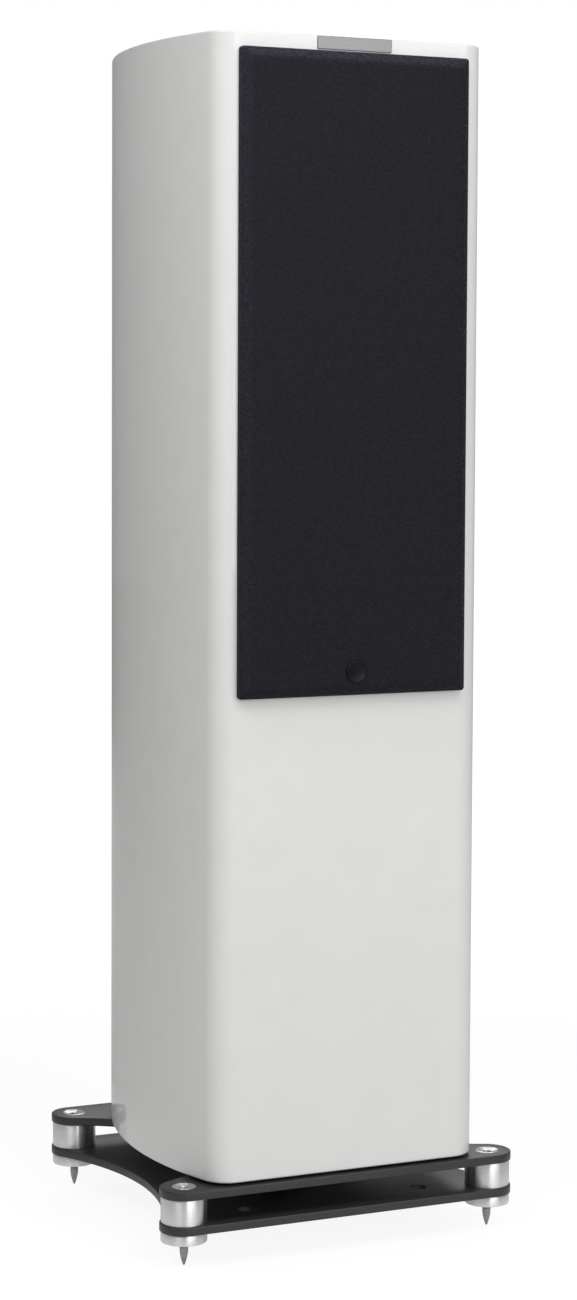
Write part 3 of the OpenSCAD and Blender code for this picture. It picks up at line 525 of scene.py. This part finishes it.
def rounded_rect(w, h, r, steps=6):
    """The outline of a rectangle with round corners, counterclockwise."""
    points = []
    for sx, sy, start in ((1, -1, -90), (1, 1, 0), (-1, 1, 90), (-1, -1, 180)):
        points += arc((sx * (w / 2 - r), sy * (h / 2 - r)), r, start, start + 90, steps)
    return points


def slab(w, h, r, profile, place):
    """A rounded rectangle through a profile of (inset, height), put on the object by place."""
    return loft([[place(u, v, up) for u, v in rounded_rect(w - 2 * t, h - 2 * t, r)]
                 for t, up in profile])


block = [(0.8, 0), (0, 0.8), (0, 9.2), (0.8, 10)]
resistors = piece("ceramic_resistors", joined(
    [slab(50, 10, 1.0, block, on_board(0.067, z)) for z in (-0.368, -0.432)]), ceramic)
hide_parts("crossover_capacitors")


def rounded_route(points, bend=9.0, steps=6):
    """A route through points, its corners rounded over the length bend on each side."""
    points = [Vector(p) for p in points]
    route = [points[0]]
    for before, corner, after in zip(points, points[1:], points[2:]):
        a = corner + bend * (before - corner).normalized()
        b = corner + bend * (after - corner).normalized()
        for t in (i / steps for i in range(steps + 1)):
            route.append((1 - t) ** 2 * a + 2 * t * (1 - t) * corner + t * t * b)
    return route + [points[-1]]


def tube(route, radius, sides=12):
    """A round skin along a route, carried round its bends without a twist."""
    rings, side = [], Vector((1, 0.01, 0))
    turns = [2 * math.pi * k / sides for k in range(sides)]
    for i, here in enumerate(route):
        ahead = (route[min(i + 1, len(route) - 1)] - route[max(i - 1, 0)]).normalized()
        side = (side - side.dot(ahead) * ahead).normalized()
        other = ahead.cross(side)
        rings.append([here + radius * (math.cos(a) * side + math.sin(a) * other) for a in turns])
    return loft(rings)


# PVC-covered cable: a soft shine, with the faint waves of the strands inside. TAIL is the straight
# end at a joint, LOOM_Y the plane that the cables run in, TAG_Y that of the drivers' solder tags.
CABLE_R, TAIL = 1.8, 12.0
LOOM_Y = inner_back - 42.0
TAG_Y = front_y + 54.8 + CABLE_R
MAGNET_R = 66.0
POSTS = [(sx * 9.5, TERM_Z + sz * 19.0) for sz in (1, -1) for sx in (-1, 1)]
board_top, board_foot = BOARD_Z + BOARD_H / 2, BOARD_Z - BOARD_H / 2
STUD_END = back_y - WALL - 8
routes = []
for side in (-1, 1):
    for centre, lane in ((BASS_Z, 26), (COAX_Z, 34)):
        x, tag_z = side * 6, centre - MAGNET_R - 1.5
        routes.append([(side * lane, BOARD_Y, board_top - 6),
                       (side * lane, BOARD_Y - TAIL, board_top - 6),
                       (side * lane, LOOM_Y, board_top + TAIL),
                       (side * lane, LOOM_Y, centre - MAGNET_R - 50), (x, TAG_Y + TAIL, tag_z),
                       (x, TAG_Y - CABLE_R, tag_z)])
for i, (post_x, post_z) in enumerate(POSTS):
    x = post_x * (2.4 if i < 2 else 4)
    routes.append([(post_x, STUD_END, post_z), (post_x, STUD_END - TAIL, post_z),
                   (x, LOOM_Y, post_z + 2 * TAIL), (x, LOOM_Y, board_foot - TAIL),
                   (x, BOARD_Y - TAIL, board_foot + 4), (x, BOARD_Y, board_foot + 4)])
red_cable = textured("red_cable", "cable", grain(5, (1, 1, 0.2)), ("6E1A1A", "8E2624"), 0.08,
                     Roughness=0.5)
black_cable = textured("black_cable", "cable", grain(5, (1, 1, 0.2)), ("131314", "232325"), 0.08,
                       Roughness=0.5)
for name, finish, runs in (("driver_cables", red_cable, routes[:4]),
                           ("terminal_cables", black_cable, routes[4:])):
    cables = piece(name, joined([tube(rounded_route(run), CABLE_R) for run in runs]), finish,
                   sharp=70)
    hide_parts("internal_wiring")

# ---- Port ----
# A moulded port let into the underside, flared at both ends, in black ABS with a fine spark
# texture; it blows down at a cone on the lower plate.
moulded = textured("moulded_black_abs", "port_plastic", grain(0.8, detail=3.0),
                   ("141416", "232325"), 0.05, Roughness=0.6)
for node in ("reflex_port", "port_diffuser"):
    dress(node, moulded)

# ---- Terminals ----
# A moulded plate screwed to the back, with two pairs of gold-plated binding posts: studs with
# sockets, clamping washers, fluted knobs in clear-coated red and black, and two plated links.
TERM_W, TERM_H, TERM_T = 100.0, 110.0, 3.0
COLLAR_R, COLLAR_H, STUD_R = 8.0, 3.0, 3.8
SCREW_HOLE_R, SCREW_IN, OVER = 2.2, 6.0, 2.0


def out_of_back(x, z, out=0.0):
    """Places lathe work on the back, or a length out from it, its axis coming out of the back."""
    return lambda u, v, h: (x + u, back_y + (h + out), z + v)


# Moulded ABS with a fine spark texture: black with a soft sheen.
terminal_abs = textured("moulded_terminal_abs", "terminal_plastic", grain(0.8, detail=3.0),
                        ("121214", "202023"), 0.05, Roughness=0.5)
plate_edge = [(0, 0), (0, TERM_T - 1.2), (0.35, TERM_T - 0.4), (1.2, TERM_T), (3.2, TERM_T),
              (3.6, TERM_T - 0.5), (5.0, TERM_T - 0.5), (5.4, TERM_T)]
collar = [(COLLAR_R, TERM_T), (COLLAR_R, TERM_T + COLLAR_H - 0.6),
          (COLLAR_R - 0.6, TERM_T + COLLAR_H), (STUD_R + 0.2, TERM_T + COLLAR_H),
          (STUD_R + 0.2, TERM_T)]
terminal = piece("terminal_moulding", slab(TERM_W, TERM_H, 8, plate_edge, out_of_back(0, TERM_Z)),
                 terminal_abs)
holes = [turned([(STUD_R + 0.2, -OVER), (STUD_R + 0.2, TERM_T + OVER)], out_of_back(x, z), 48)
         for x, z in POSTS]
holes += [turned([(SCREW_HOLE_R, -OVER), (SCREW_HOLE_R, TERM_T + OVER)],
                 out_of_back(sx * (TERM_W / 2 - SCREW_IN), TERM_Z + sz * (TERM_H / 2 - SCREW_IN)),
                 32)
          for sx in (-1, 1) for sz in (-1, 1)]
cut(terminal, holes)
collars = piece("post_collars", joined([turned(collar, out_of_back(x, z), 48, closed=True)
                                        for x, z in POSTS]), terminal_abs)
for made in (terminal, collars):
    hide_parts("terminal_plate")

# Brass, turned and gold-plated: a warm, clear mirror with slight marks of handling.
gilt = textured("gold_plate", "gilt_brass", grain(1.5, detail=3.0), ("C79A35", "E6C268"), 0.02,
                Metallic=1.0, Roughness=0.2)
for node in ("post_studs", "post_links", *(f"post_washer_{i}" for i in range(1, 5))):
    dress(node, gilt)

# The knobs: a fluted grip with a rounded shoulder and a smooth foot, in plastic with a deep gloss.
KNOB_R, KNOB_LOW, KNOB_H = 7.5, 8.7, 15.3
FLUTES, FLUTE_D, FOOT_R = 18, 0.45, 6.7
knob_profile = [(3.9, 0), (6.3, 0), (FOOT_R, 0.4), (FOOT_R, 1.3), (KNOB_R - 0.3, 1.8),
                (KNOB_R, 2.3), (KNOB_R, 11.6), (KNOB_R - 0.3, 12.4), (6.6, 13.0), (6.4, 14.4),
                (5.9, 15.1), (5.0, KNOB_H), (3.9, KNOB_H)]


def fluted(place, steps=144):
    """The knob's outline turned round, with grooves only where the grip is full width."""
    rings = []
    for r, h in knob_profile:
        depth = FLUTE_D * min(max(r - FOOT_R, 0) / 0.5, 1)
        ring = []
        for k in range(steps):
            a = 2 * math.pi * k / steps
            groove = r - depth * (0.5 - 0.5 * math.cos(FLUTES * a)) ** 2
            ring.append(place(groove * math.cos(a), groove * math.sin(a), h))
        rings.append(ring)
    return loft(rings, closed=True)


red = textured("red_knob_plastic", "red_knob", grain(6), ("8E1414", "A31B1B"), 0.02, Roughness=0.25,
               Coat_Weight=0.8)
black = textured("black_knob_plastic", "black_knob", grain(6), ("131315", "1D1D20"), 0.02,
                 Roughness=0.25, Coat_Weight=0.8)
for i, (x, z) in enumerate(POSTS, 1):
    knob = piece(f"fluted_knob_{i}", fluted(out_of_back(x, z, KNOB_LOW)), red if i % 2 else black,
                 f"knob_{i}", 50)
    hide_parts(f"post_knob_{i}")


# ---- Drivers ----
# Cast alloy baskets with ferrite motors. The upper one is coaxial: a tweeter's dome and waveguide
# sit in the throat of its cone. All heights are out of the baffle's face: SEAT is that of the
# flanges, where the rims are glued, and NECK that of the cones' inner ends.
SEAT = -2.8
FORMER_R, CONE_R, NECK = 24.9, 79.0, -35.8
DRIVERS = (("bass", BASS_Z), ("coaxial", COAX_Z))
SEGMENTS = 20

# Cast alloy under black powder coat, dull and pimpled; pressed and sintered ferrite, dark grey
# and chalky; zinc-plated steel, cool grey with faint clouds.
cast = textured("cast_alloy_powder", "cast_alloy", grain(1.0, detail=3.0), ("1B1B1D", "2E2E31"),
                0.08, Roughness=0.5)
ferrite = textured("sintered_ferrite", "ferrite", grain(0.8, detail=5.0), ("2A2A2C", "434347"),
                   0.08, Roughness=0.7)
zinc = textured("zinc_plated_steel", "zinc_steel", grain(5, detail=4.0), ("84868A", "A3A5A6"), 0.03,
                Metallic=1.0, Roughness=0.35)
for node, finish in (("driver_baskets", cast), ("driver_magnets", ferrite), ("driver_yokes", zinc),
                     ("bass_voice_coil", enamel), ("coaxial_voice_coil", enamel)):
    dress(node, finish)

# Rubber trims over the flanges, matt black, with holes over the screws; the screws are black oxide
# steel, a dark metal with a dull glint.
LIP_R, FLANGE_R, TRIM_T = 95.2, 107.0, 2.6
SCREW_RING_R, SCREW_COUNT, HEAD_R = 100.75, 8, 4.4


def over_screw(a, z):
    """Places lathe work over a screw of the flange, at an angle round the driver's middle."""
    return lambda u, v, h: (SCREW_RING_R * math.cos(a) + u, front_y - h,
                            z + SCREW_RING_R * math.sin(a) + v)


rubber = textured("moulded_rubber", "trim_rubber", grain(1.2, detail=3.0), ("111113", "1D1D1F"),
                  0.05, Roughness=0.7)
trim_profile = [(r, SEAT + h) for r, h in (
    (LIP_R, 0), (LIP_R, 1.6), (LIP_R + 0.5, 2.3), (LIP_R + 1.4, TRIM_T), (FLANGE_R - 1.0, TRIM_T),
    (FLANGE_R - 0.3, TRIM_T - 0.3), (FLANGE_R, TRIM_T - 1.0), (FLANGE_R, 0))]
for name, z in DRIVERS:
    trim = piece(f"{name}_trim", turned(trim_profile, out_of_front(z), 128, closed=True), rubber)
    spots = [math.radians((i + 0.5) * 360 / SCREW_COUNT) for i in range(SCREW_COUNT)]
    cut(trim, [turned([(HEAD_R, SEAT - 1), (HEAD_R, 1)], over_screw(a, z), 32) for a in spots])
    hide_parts("driver_trims")
oxide = textured("black_oxide_steel", "screw_steel", grain(1.5, detail=3.0), ("1E1E20", "333336"),
                 0.03, Metallic=1.0, Roughness=0.4)
dress("fixing_screws", oxide)


CONE_IN, RIM_IN, PULP_T, FLARE = 25.0, 75.0, 1.2, 0.88


def cone_at(r):
    """Height of a cone's face at a radius: a gentle curve from its neck to its rim."""
    return NECK + (SEAT - NECK) * ((r - FORMER_R) / (RIM_IN - FORMER_R)) ** FLARE


# Cones and the dust cap: paper pulp pressed on a felt, coated black, with fibres in all directions.
pulp = textured("coated_paper_pulp", "pulp_cone", grain(2.2, detail=6.0), ("17171A", "2C2C31"),
                0.08, Roughness=0.55, Coat_Weight=0.15, Coat_Roughness=0.3)
radii = [CONE_IN + (RIM_IN - CONE_IN) * i / 24 for i in range(25)]
cone_profile = [(r, cone_at(r)) for r in radii] + [(CONE_R, SEAT), (CONE_R, SEAT - PULP_T)]
cone_profile += [(r, cone_at(r) - PULP_T) for r in reversed(radii)]
for name, z in DRIVERS:
    cone = piece(f"{name}_pulp_cone", turned(cone_profile, out_of_front(z), closed=True), pulp,
                 f"{name}_diaphragm")
    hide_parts(f"{name}_cone")

CAP_BALL, DUST_R, THIN = 46.0, 32.0, 0.8
drop = cone_at(DUST_R) - math.sqrt(CAP_BALL ** 2 - DUST_R ** 2)
open_angle = math.asin(DUST_R / CAP_BALL)
cap_turns = [open_angle * i / 16 for i in range(17)]
cap_outline = [(max(CAP_BALL * math.sin(a), 0.01), drop + CAP_BALL * math.cos(a))
               for a in cap_turns]
cap_outline += [((CAP_BALL - THIN) * math.sin(a) + 0.01,
                 drop + 0.1 + (CAP_BALL - THIN) * math.cos(a)) for a in reversed(cap_turns)]
dust_cap = piece("bass_dome_cap", turned(cap_outline, out_of_front(BASS_Z)), pulp, "bass_diaphragm")
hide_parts("bass_dust_cap")


def flexible_ring(name, outline, z, body, moving_r, fixed_r, finish):
    """A ring between a diaphragm and the basket, made as separate segments round its middle."""
    made = []
    for k in range(SEGMENTS):
        turns = [2 * math.pi * (k + j / 6) / SEGMENTS for j in range(7)]
        shape = loft([[(r * math.cos(a), front_y - h, z + r * math.sin(a)) for r, h in outline]
                      for a in turns], capped=False)
        part = piece(f"{name}_{k + 1}", shape, finish, None)
        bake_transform(part)
        made.append(part)
    return made


# Half-roll surrounds: nitrile rubber 0.8 mm thick, glued to the cone's rim and to the basket. It
# is a matt black with a soft highlight along the roll.
ROLL_MID, ROLL_R, SKIN = 85.0, 6.2, 0.8
RIM_OUT = 95.0
SURROUND_BEND = (80.5, 89.0)
roll = [(ROLL_MID - ROLL_R * math.cos(math.radians(a)), SEAT + ROLL_R * math.sin(math.radians(a)))
        for a in range(8, 173, 8)]
under = [(ROLL_MID - (ROLL_R - SKIN) * math.cos(math.radians(a)),
          SEAT + (ROLL_R - SKIN) * math.sin(math.radians(a))) for a in range(0, 181, 9)]
surround_outline = [(RIM_IN, SEAT + SKIN), *roll, (RIM_OUT, SEAT + SKIN), (RIM_OUT, SEAT),
                    *reversed(under), (RIM_IN, SEAT)]
nitrile = textured("nitrile_rubber", "surround_rubber", grain(1.5, detail=3.0),
                   ("131315", "202022"), 0.04, Roughness=0.55)

# Spiders: cotton cloth pressed into rings and stiffened with resin, straw yellow.
SPIDER_Z, SPIDER_IN, SPIDER_R = -41.8, 25.05, 65.0
WAVES, WAVE_H, WAVES_FROM, WAVES_LONG = 4, 1.6, 28.05, 30.95
SPIDER_BEND = (27.5, 58.5)
ripple = [(WAVES_FROM + WAVES_LONG * i / 48,
           SPIDER_Z + WAVE_H * math.sin(2 * math.pi * WAVES * i / 48)) for i in range(49)]
spider_outline = [(SPIDER_IN, SPIDER_Z), *ripple, (SPIDER_R, SPIDER_Z), (SPIDER_R, SPIDER_Z + SKIN),
                  *[(r, h + SKIN) for r, h in reversed(ripple)], (SPIDER_IN, SPIDER_Z + SKIN)]
resin_cloth = textured("resin_cloth", "spider_cloth", grain(1.2, detail=4.0), ("B49A58", "D9C382"),
                       0.15, Roughness=0.75)
for name, z in DRIVERS:
    for part in flexible_ring(f"{name}_surround_roll", surround_outline, z, f"{name}_diaphragm",
                              *SURROUND_BEND, nitrile):
        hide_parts(f"{name}_surround")
    for part in flexible_ring(f"{name}_spider_rings", spider_outline, z, f"{name}_diaphragm",
                              *SPIDER_BEND, resin_cloth):
        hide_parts(f"{name}_spider")

# The tweeter: a waveguide moulded as one ring, and a foil dome with its small half-roll.
POLE_R, THROAT_R, GUIDE_Z, DOME_R = 23.5, 13.7, -53.8, 12.8
mouth = [(POLE_R - 1.6 + 1.3 * math.cos(math.radians(a)),
          GUIDE_Z + 12 + 5 * math.sin(math.radians(a))) for a in range(0, 81, 10)]
horn = [(THROAT_R + 7 * (1 - math.cos(math.radians(a))),
         GUIDE_Z + 17 - 12 * (1 - math.sin(math.radians(a)))) for a in range(80, -1, -8)]
guide = piece("tweeter_waveguide_ring",
              turned([(THROAT_R, GUIDE_Z), (POLE_R - 0.3, GUIDE_Z), *mouth, *horn],
                     out_of_front(COAX_Z), closed=True), moulded)
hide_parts("tweeter_waveguide")
DOME_BALL = 18.0
lift = GUIDE_Z + 2 - math.sqrt(DOME_BALL ** 2 - DOME_R ** 2)
dome_turns = [math.asin(DOME_R / DOME_BALL) * i / 14 for i in range(15)]
# Titanium foil, pressed: a pale grey mirror, softened by the press.
foil = textured("titanium_foil", "dome_metal", grain(4, detail=3.0), ("8F9094", "AAABAF"), 0.02,
                Metallic=1.0, Roughness=0.32)
dome_outline = [(max(DOME_BALL * math.sin(a), 0.01), lift + DOME_BALL * math.cos(a))
                for a in dome_turns]
dome_outline += [(DOME_R + 0.3, GUIDE_Z + 2.3), (DOME_R + 0.6, GUIDE_Z + 2),
                 (DOME_R + 0.6, GUIDE_Z + 1.2), (DOME_R, GUIDE_Z + 1.2)]
dome_outline += [((DOME_BALL - THIN) * math.sin(a) + 0.01, lift + (DOME_BALL - THIN) * math.cos(a))
                 for a in reversed(dome_turns)]
dome = piece("tweeter_foil_dome", turned(dome_outline, out_of_front(COAX_Z), 72), foil,
             "tweeter_diaphragm")
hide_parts("tweeter_dome")

# ---- Grille ----
# Black acoustic cloth pulled tight over a board frame and glued round its edges. The frame's face
# slopes away all round, and on the upper and left slopes the cloth is painted lighter, a painted
# sheen. It is held by magnets in the baffle.
GRILLE_W, GRILLE_H, GRILLE_T, GRILLE_CORNER = 227.0, 581.0, 12.0, 3.0
GRILLE_DROP = 14.0
grille_top = cab_top - GRILLE_DROP
grille_mid = grille_top - GRILLE_H / 2

# Woven polyester: 0.7 mm threads over and under, and a fine fuzz that catches the light. The
# threads are as fine as a pixel, so thick and thin places in them are drawn 2 to 4 mm long to show.
THREAD, SLUB = 0.7, 1.8
# the direction, up and to the left, towards which the cloth is painted lighter: a painted sheen
PAINTED_SHEEN_FROM = (-0.5, 0, 1.5)


def weave(tree, place):
    """Crossing threads, high where two pass over each other and uneven along each thread. Where the
    cloth faces up and to the left, on the upper and left slopes, a painted sheen makes it lighter."""
    threads = [add(tree, "ShaderNodeTexWave",
                   {"Vector": place, "Scale": math.pi / 10 * 1000 / THREAD},
                   bands_direction=run).outputs["Fac"] for run in ("X", "Z")]
    crossing = add(tree, "ShaderNodeMath", {0: threads[0], 1: threads[1]}, operation="MULTIPLY")
    # a thread's thin places have 0.4 times its tint, and its thick ones 1.6 times
    slubs = add(tree, "ShaderNodeMapRange",
                {"Value": grain(SLUB, (0.5, 1, 1), 3.0)(tree, place), "From Min": 0.42,
                 "From Max": 0.72, "To Min": 0.4, "To Max": 1.6})
    # painted sheen: the more the cloth faces up and to the left, the lighter its tint
    slope = add(tree, "ShaderNodeVectorMath",
                {0: add(tree, "ShaderNodeTexCoord").outputs["Normal"], 1: PAINTED_SHEEN_FROM},
                operation="DOT_PRODUCT")
    bend = add(tree, "ShaderNodeMath", {0: slope.outputs["Value"], 1: 0.0}, operation="MAXIMUM")
    threads_and_painted_sheen = add(tree, "ShaderNodeMath", {0: crossing.outputs[0], 1: bend.outputs[0]})
    return add(tree, "ShaderNodeMath", {0: threads_and_painted_sheen.outputs[0], 1: slubs.outputs[0]},
               operation="MULTIPLY").outputs[0]


cloth = textured("woven_black_cloth", "grille_fabric", weave, ("0F0E14", "33313C"), 0.14,
                 Roughness=0.65, Sheen_Weight=0.35, Sheen_Roughness=0.25, Specular_IOR_Level=0.15)
cloth_profile = [(0, 0.02), (0, 5.8), (0.2, 6.7), (0.9, 7.6), (1.9, 8.35), (6.3, 10.95),
                 (7.6, 11.6), (9.0, 11.92), (11.0, 12.0)]
cover_rings = [[(x, front_y - h, grille_mid + z)
                for x, z in rounded_rect(GRILLE_W - 2 * t, GRILLE_H - 2 * t, GRILLE_CORNER)]
               for t, h in cloth_profile]
cover_points, cover_faces = loft(cover_rings, capped=False)
rim = len(cover_rings[-1])
cover_faces.append(tuple(range(len(cover_points) - rim, len(cover_points))))
cover = piece("grille_cloth_cover", (cover_points, cover_faces), cloth, "grille")
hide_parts("grille_cloth")

# MDF, routed and stained black through, with a faint fibre mottle; nickel-plated magnets.
stained = textured("black_stained_mdf", "frame_board", grain(1.7, detail=4.0), ("131315", "2A2A2C"),
                   0.15, Roughness=0.8, Specular_IOR_Level=0.25)
nickel = textured("nickel_plate", "magnet_steel", grain(0.5), ("BDBBB4", "D2D0C9"), 0.02,
                  Metallic=1.0, Roughness=0.22)
dress("grille_frame", stained)
for node in ("grille_magnets", "baffle_magnets"):
    dress(node, nickel)

# ---- Badge ----
# A round disc of black cast acrylic glued to the cloth near the grille's foot, with a turned rim.
# It is bare, and polished so dark that it hardly shows on the cloth.
BADGE_R, BADGE_RISE = 10.5, 22.0
acrylic = textured("black_acrylic", "badge_gloss", grain(1.1, detail=3.0), ("0C0C0E", "141418"),
                   0.01, Roughness=0.3, Specular_IOR_Level=0.15, IOR=1.49)
badge_z = grille_top - GRILLE_H + BADGE_RISE
badge_profile = [(0.01, 1.15), (8.4, 1.15), (8.7, 1.25), (8.9, 1.55), (9.2, 1.6), (9.7, 1.6),
                 (10.1, 1.45), (10.4, 1.1), (BADGE_R, 0.6), (BADGE_R, 0.0)]
badge = piece("badge_bare",
              turned([(r, GRILLE_T + h) for r, h in badge_profile], out_of_front(badge_z)), acrylic,
              "grille")
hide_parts("badge_disc")

# ---- Plate above the grille ----
# A thin aluminium plate glued on below the cabinet's top edge, and bare. It is brushed
# lengthwise, so that it shows an even grey with long hairlines.
PLATE_W, PLATE_H, PLATE_T, PLATE_GAP = 74.0, 12.0, 1.2, 1.5
plate_mid = grille_top + PLATE_GAP + PLATE_H / 2
brushed = textured("brushed_aluminium", "plate_alloy", grain(16, (1, 40, 40), 5.0),
                   ("6F6F71", "8D8D8F"), 0.02, Metallic=1.0, Roughness=0.38, Anisotropic=0.6)
plate_profile = [(0, 0), (0, 0.9), (0.1, 1.1), (0.3, PLATE_T), (1.0, PLATE_T)]
plate = piece("plate_bare", slab(PLATE_W, PLATE_H, 1.2, plate_profile,
                                 lambda u, v, h: (u, front_y - h, plate_mid + v)), brushed)
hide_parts("name_plate")

# ---- Plinth plates ----
# Two 8 mm aluminium plates, laser-cut to a waisted outline with round corners, edges broken, and
# powder-coated black: the upper one is screwed to the cabinet, the lower one hangs on spacers.
ROD_R = 4.0
FOOT_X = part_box("spike_2")[1][0] / MM - ROD_R
foot_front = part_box("spike_1")[0][1] / MM + ROD_R
foot_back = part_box("spike_3")[1][1] / MM - ROD_R
FOOT_Y = (foot_back - foot_front) / 2
FEET = [(-FOOT_X, foot_front), (FOOT_X, foot_front), (FOOT_X, foot_back), (-FOOT_X, foot_back)]
LOBE_R = 22.5
PLATE_THICK = 8.0
UPPER_WAIST, LOWER_WAIST = 80.0, 139.0
EDGE_BREAK = 0.9
lower_z = lower_box[0][2] / MM
upper_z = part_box("upper_plate")[0][2] / MM
spacer_z = lower_z + PLATE_THICK
SCREWS = [(sx * 89.0, PLINTH_Y + sy * 131.0) for sx in (-1, 1) for sy in (-1, 1)]


def plinth_plan(waist, inset=0.0):
    """Four round corners joined by hollow sides, drawn in all round."""
    lean = waist - FOOT_X
    side = (FOOT_Y ** 2 + lean ** 2 - LOBE_R ** 2) / (2 * (LOBE_R - lean))
    middle = waist + side
    swing = math.degrees(math.atan2(FOOT_Y, middle - FOOT_X))
    right = arc((FOOT_X, PLINTH_Y - FOOT_Y), LOBE_R - inset, -90, swing, 24)
    right += arc((middle, PLINTH_Y), side + inset, 180 + swing, 180 - swing, 48)[1:-1]
    right += arc((FOOT_X, PLINTH_Y + FOOT_Y), LOBE_R - inset, -swing, 90, 24)
    return both_sides(right)


def plate_solid(name, waist, z, finish):
    """A plate with its upper and lower edges rounded off."""
    break_turn = [math.radians(a) for a in (0, 30, 60, 90)]
    low = [(EDGE_BREAK * (1 - math.sin(a)), EDGE_BREAK * (1 - math.cos(a))) for a in break_turn]
    rings = low + [(t, PLATE_THICK - h) for t, h in reversed(low)]
    return piece(name, loft([[(x, y, z + h) for x, y in plinth_plan(waist, t)] for t, h in rings]),
                 finish)


# Fine-texture powder coat: black gone grey where light grazes it, with a pimpled skin of 0.6 mm
# grains, drawn 1.2 mm wide so that they show.
powder = textured("black_powder_coat", "plinth_black", grain(1.2), ("232325", "343437"), 0.06,
                  Roughness=0.42)

CAP_R, ACCESS_R, MOUTH_R, BOLT_R = 11.25, 7.5, 52.0, 3.2
upper = plate_solid("upper_plinth_plate", UPPER_WAIST, upper_z, powder)
through = (-OVER, PLATE_THICK + OVER)
holes = [turned([(CAP_R + 0.2, h) for h in through], standing(x, y, upper_z), 64) for x, y in FEET]
holes += [turned([(BOLT_R, h) for h in through], standing(x, y, upper_z), 32) for x, y in SCREWS]
holes.append(turned([(MOUTH_R, h) for h in through], standing(0, PLINTH_Y, upper_z), 96))
cut(upper, holes)
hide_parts("upper_plate")

lower = plate_solid("lower_plinth_plate", LOWER_WAIST, lower_z, powder)
holes = [turned([(ROD_R + 0.1, h) for h in through], standing(x, y, lower_z), 48) for x, y in FEET]
for x, y in SCREWS:
    holes.append(turned([(ACCESS_R + 1, PLATE_THICK + 0.5), (ACCESS_R + 0.5, PLATE_THICK),
                         (ACCESS_R, PLATE_THICK - 0.5), (ACCESS_R, 0.5), (ACCESS_R + 0.5, 0),
                         (ACCESS_R + 1, -0.5)], standing(x, y, lower_z), 64))
cut(lower, holes)
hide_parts("lower_plate")

# The seal between plinth and cabinet: closed-cell neoprene, matt black with fine pores.
dress("plinth_seal",
      textured("black_neoprene", "seal_foam", grain(1.1, detail=4.0), ("070708", "161617"), 0.1,
               Roughness=0.9, Specular_IOR_Level=0.15))

# ---- Spacers, caps, lock rings and spikes ----
# Turned from aluminium bar on a lathe and left bright: the tool's fine rings, drawn 1 mm wide so
# that they show, spread the light into upright bands. The spikes are ground steel, a darker grey,
# on M8 rods through the plates, with a hexagon socket at the top.
SPACER_R, SPACER_H = 21.25, 24.0
aluminium = textured("turned_aluminium", "turned_alloy", grain(0.9, (0.02, 0.02, 1), 3.0),
                     ("DADBDC", "F2F2F3"), 0.01, Metallic=1.0, Roughness=0.37, Anisotropic=0.95,
                     Anisotropic_Rotation=0.25)
steel = textured("ground_steel", "spike_steel", grain(0.9, (0.02, 0.02, 1), 3.0),
                 ("7C7D7F", "A3A4A6"), 0.01, Metallic=1.0, Roughness=0.3, Anisotropic=0.5,
                 Anisotropic_Rotation=0.25)
spacer_profile = [(ROD_R + 0.1, 0), (SPACER_R - 0.8, 0), (SPACER_R - 0.2, 0.25), (SPACER_R, 0.8),
                  (SPACER_R, SPACER_H - 0.8), (SPACER_R - 0.2, SPACER_H - 0.25),
                  (SPACER_R - 0.8, SPACER_H), (ROD_R + 0.1, SPACER_H)]
cap_profile = [(ROD_R + 0.2, 0), (CAP_R, 0), (CAP_R, 7.6), (CAP_R - 0.35, PLATE_THICK),
               (CAP_R - 1.2, PLATE_THICK), (CAP_R - 1.6, 7.8), (8.5, 7.3), (7.0, 7.0), (5.5, 6.86),
               (ROD_R + 0.6, 6.8), (ROD_R + 0.2, 6.4)]
RING_T = 9.8
ring_profile = [(ROD_R + 0.1, 0), (SPACER_R - 1.4, 0), (SPACER_R - 0.4, 0.4), (SPACER_R, 1.4),
                (SPACER_R, RING_T - 1.2), (SPACER_R - 0.4, RING_T - 0.3), (SPACER_R - 1.2, RING_T),
                (ROD_R + 0.1, RING_T)]
ring_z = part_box("lock_ring_1")[0][2] / MM
TIP_R, TIP_H, SPIKE_TOP = 0.8, 15.5, 66.5
THREAD_PITCH, THREAD_D, THREAD_FROM = 1.25, 0.45, 17.5
SOCKET_R, SOCKET_D = 2.3, 6.0
spike_profile = [(0.05, 0.0), (0.5, 0.1), (TIP_R, 0.5)]
spike_profile += [(TIP_R + (ROD_R - TIP_R) * math.sin(math.radians(9 * t)), TIP_H * t / 10)
                  for t in range(1, 11)]
spike_profile += [(ROD_R, 16.6), (ROD_R - 0.5, 17.0)]
for k in range(int((SPIKE_TOP - THREAD_FROM - 1) / THREAD_PITCH)):
    z = THREAD_FROM + k * THREAD_PITCH
    spike_profile += [(ROD_R - THREAD_D, z), (ROD_R, z + THREAD_PITCH / 2)]
spike_profile += [(ROD_R - THREAD_D, SPIKE_TOP - 0.5), (ROD_R - 0.9, SPIKE_TOP), (2.6, SPIKE_TOP)]
hexagon = [math.radians(60 * k) for k in range(6)]
for i, (x, y) in enumerate(FEET, 1):
    spacer = piece(f"turned_spacer_{i}",
                   turned(spacer_profile, standing(x, y, spacer_z), closed=True), aluminium)
    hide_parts("spacers")
    cap = piece(f"spike_cover_{i}", turned(cap_profile, standing(x, y, upper_z), closed=True),
                aluminium)
    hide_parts("spike_caps")
    ring = piece(f"lock_ring_turned_{i}", turned(ring_profile, standing(x, y, ring_z), closed=True),
                 aluminium, f"ring_{i}")
    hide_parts(f"lock_ring_{i}")
    spike = piece(f"spike_turned_{i}", turned(spike_profile, standing(x, y), 48), steel,
                  f"foot_spike_{i}")
    socket = [[(x + SOCKET_R * math.cos(a), y + SOCKET_R * math.sin(a), z) for a in hexagon]
              for z in (SPIKE_TOP - SOCKET_D, SPIKE_TOP + 1)]
    cut(spike, [loft(socket)])
    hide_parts(f"spike_{i}")
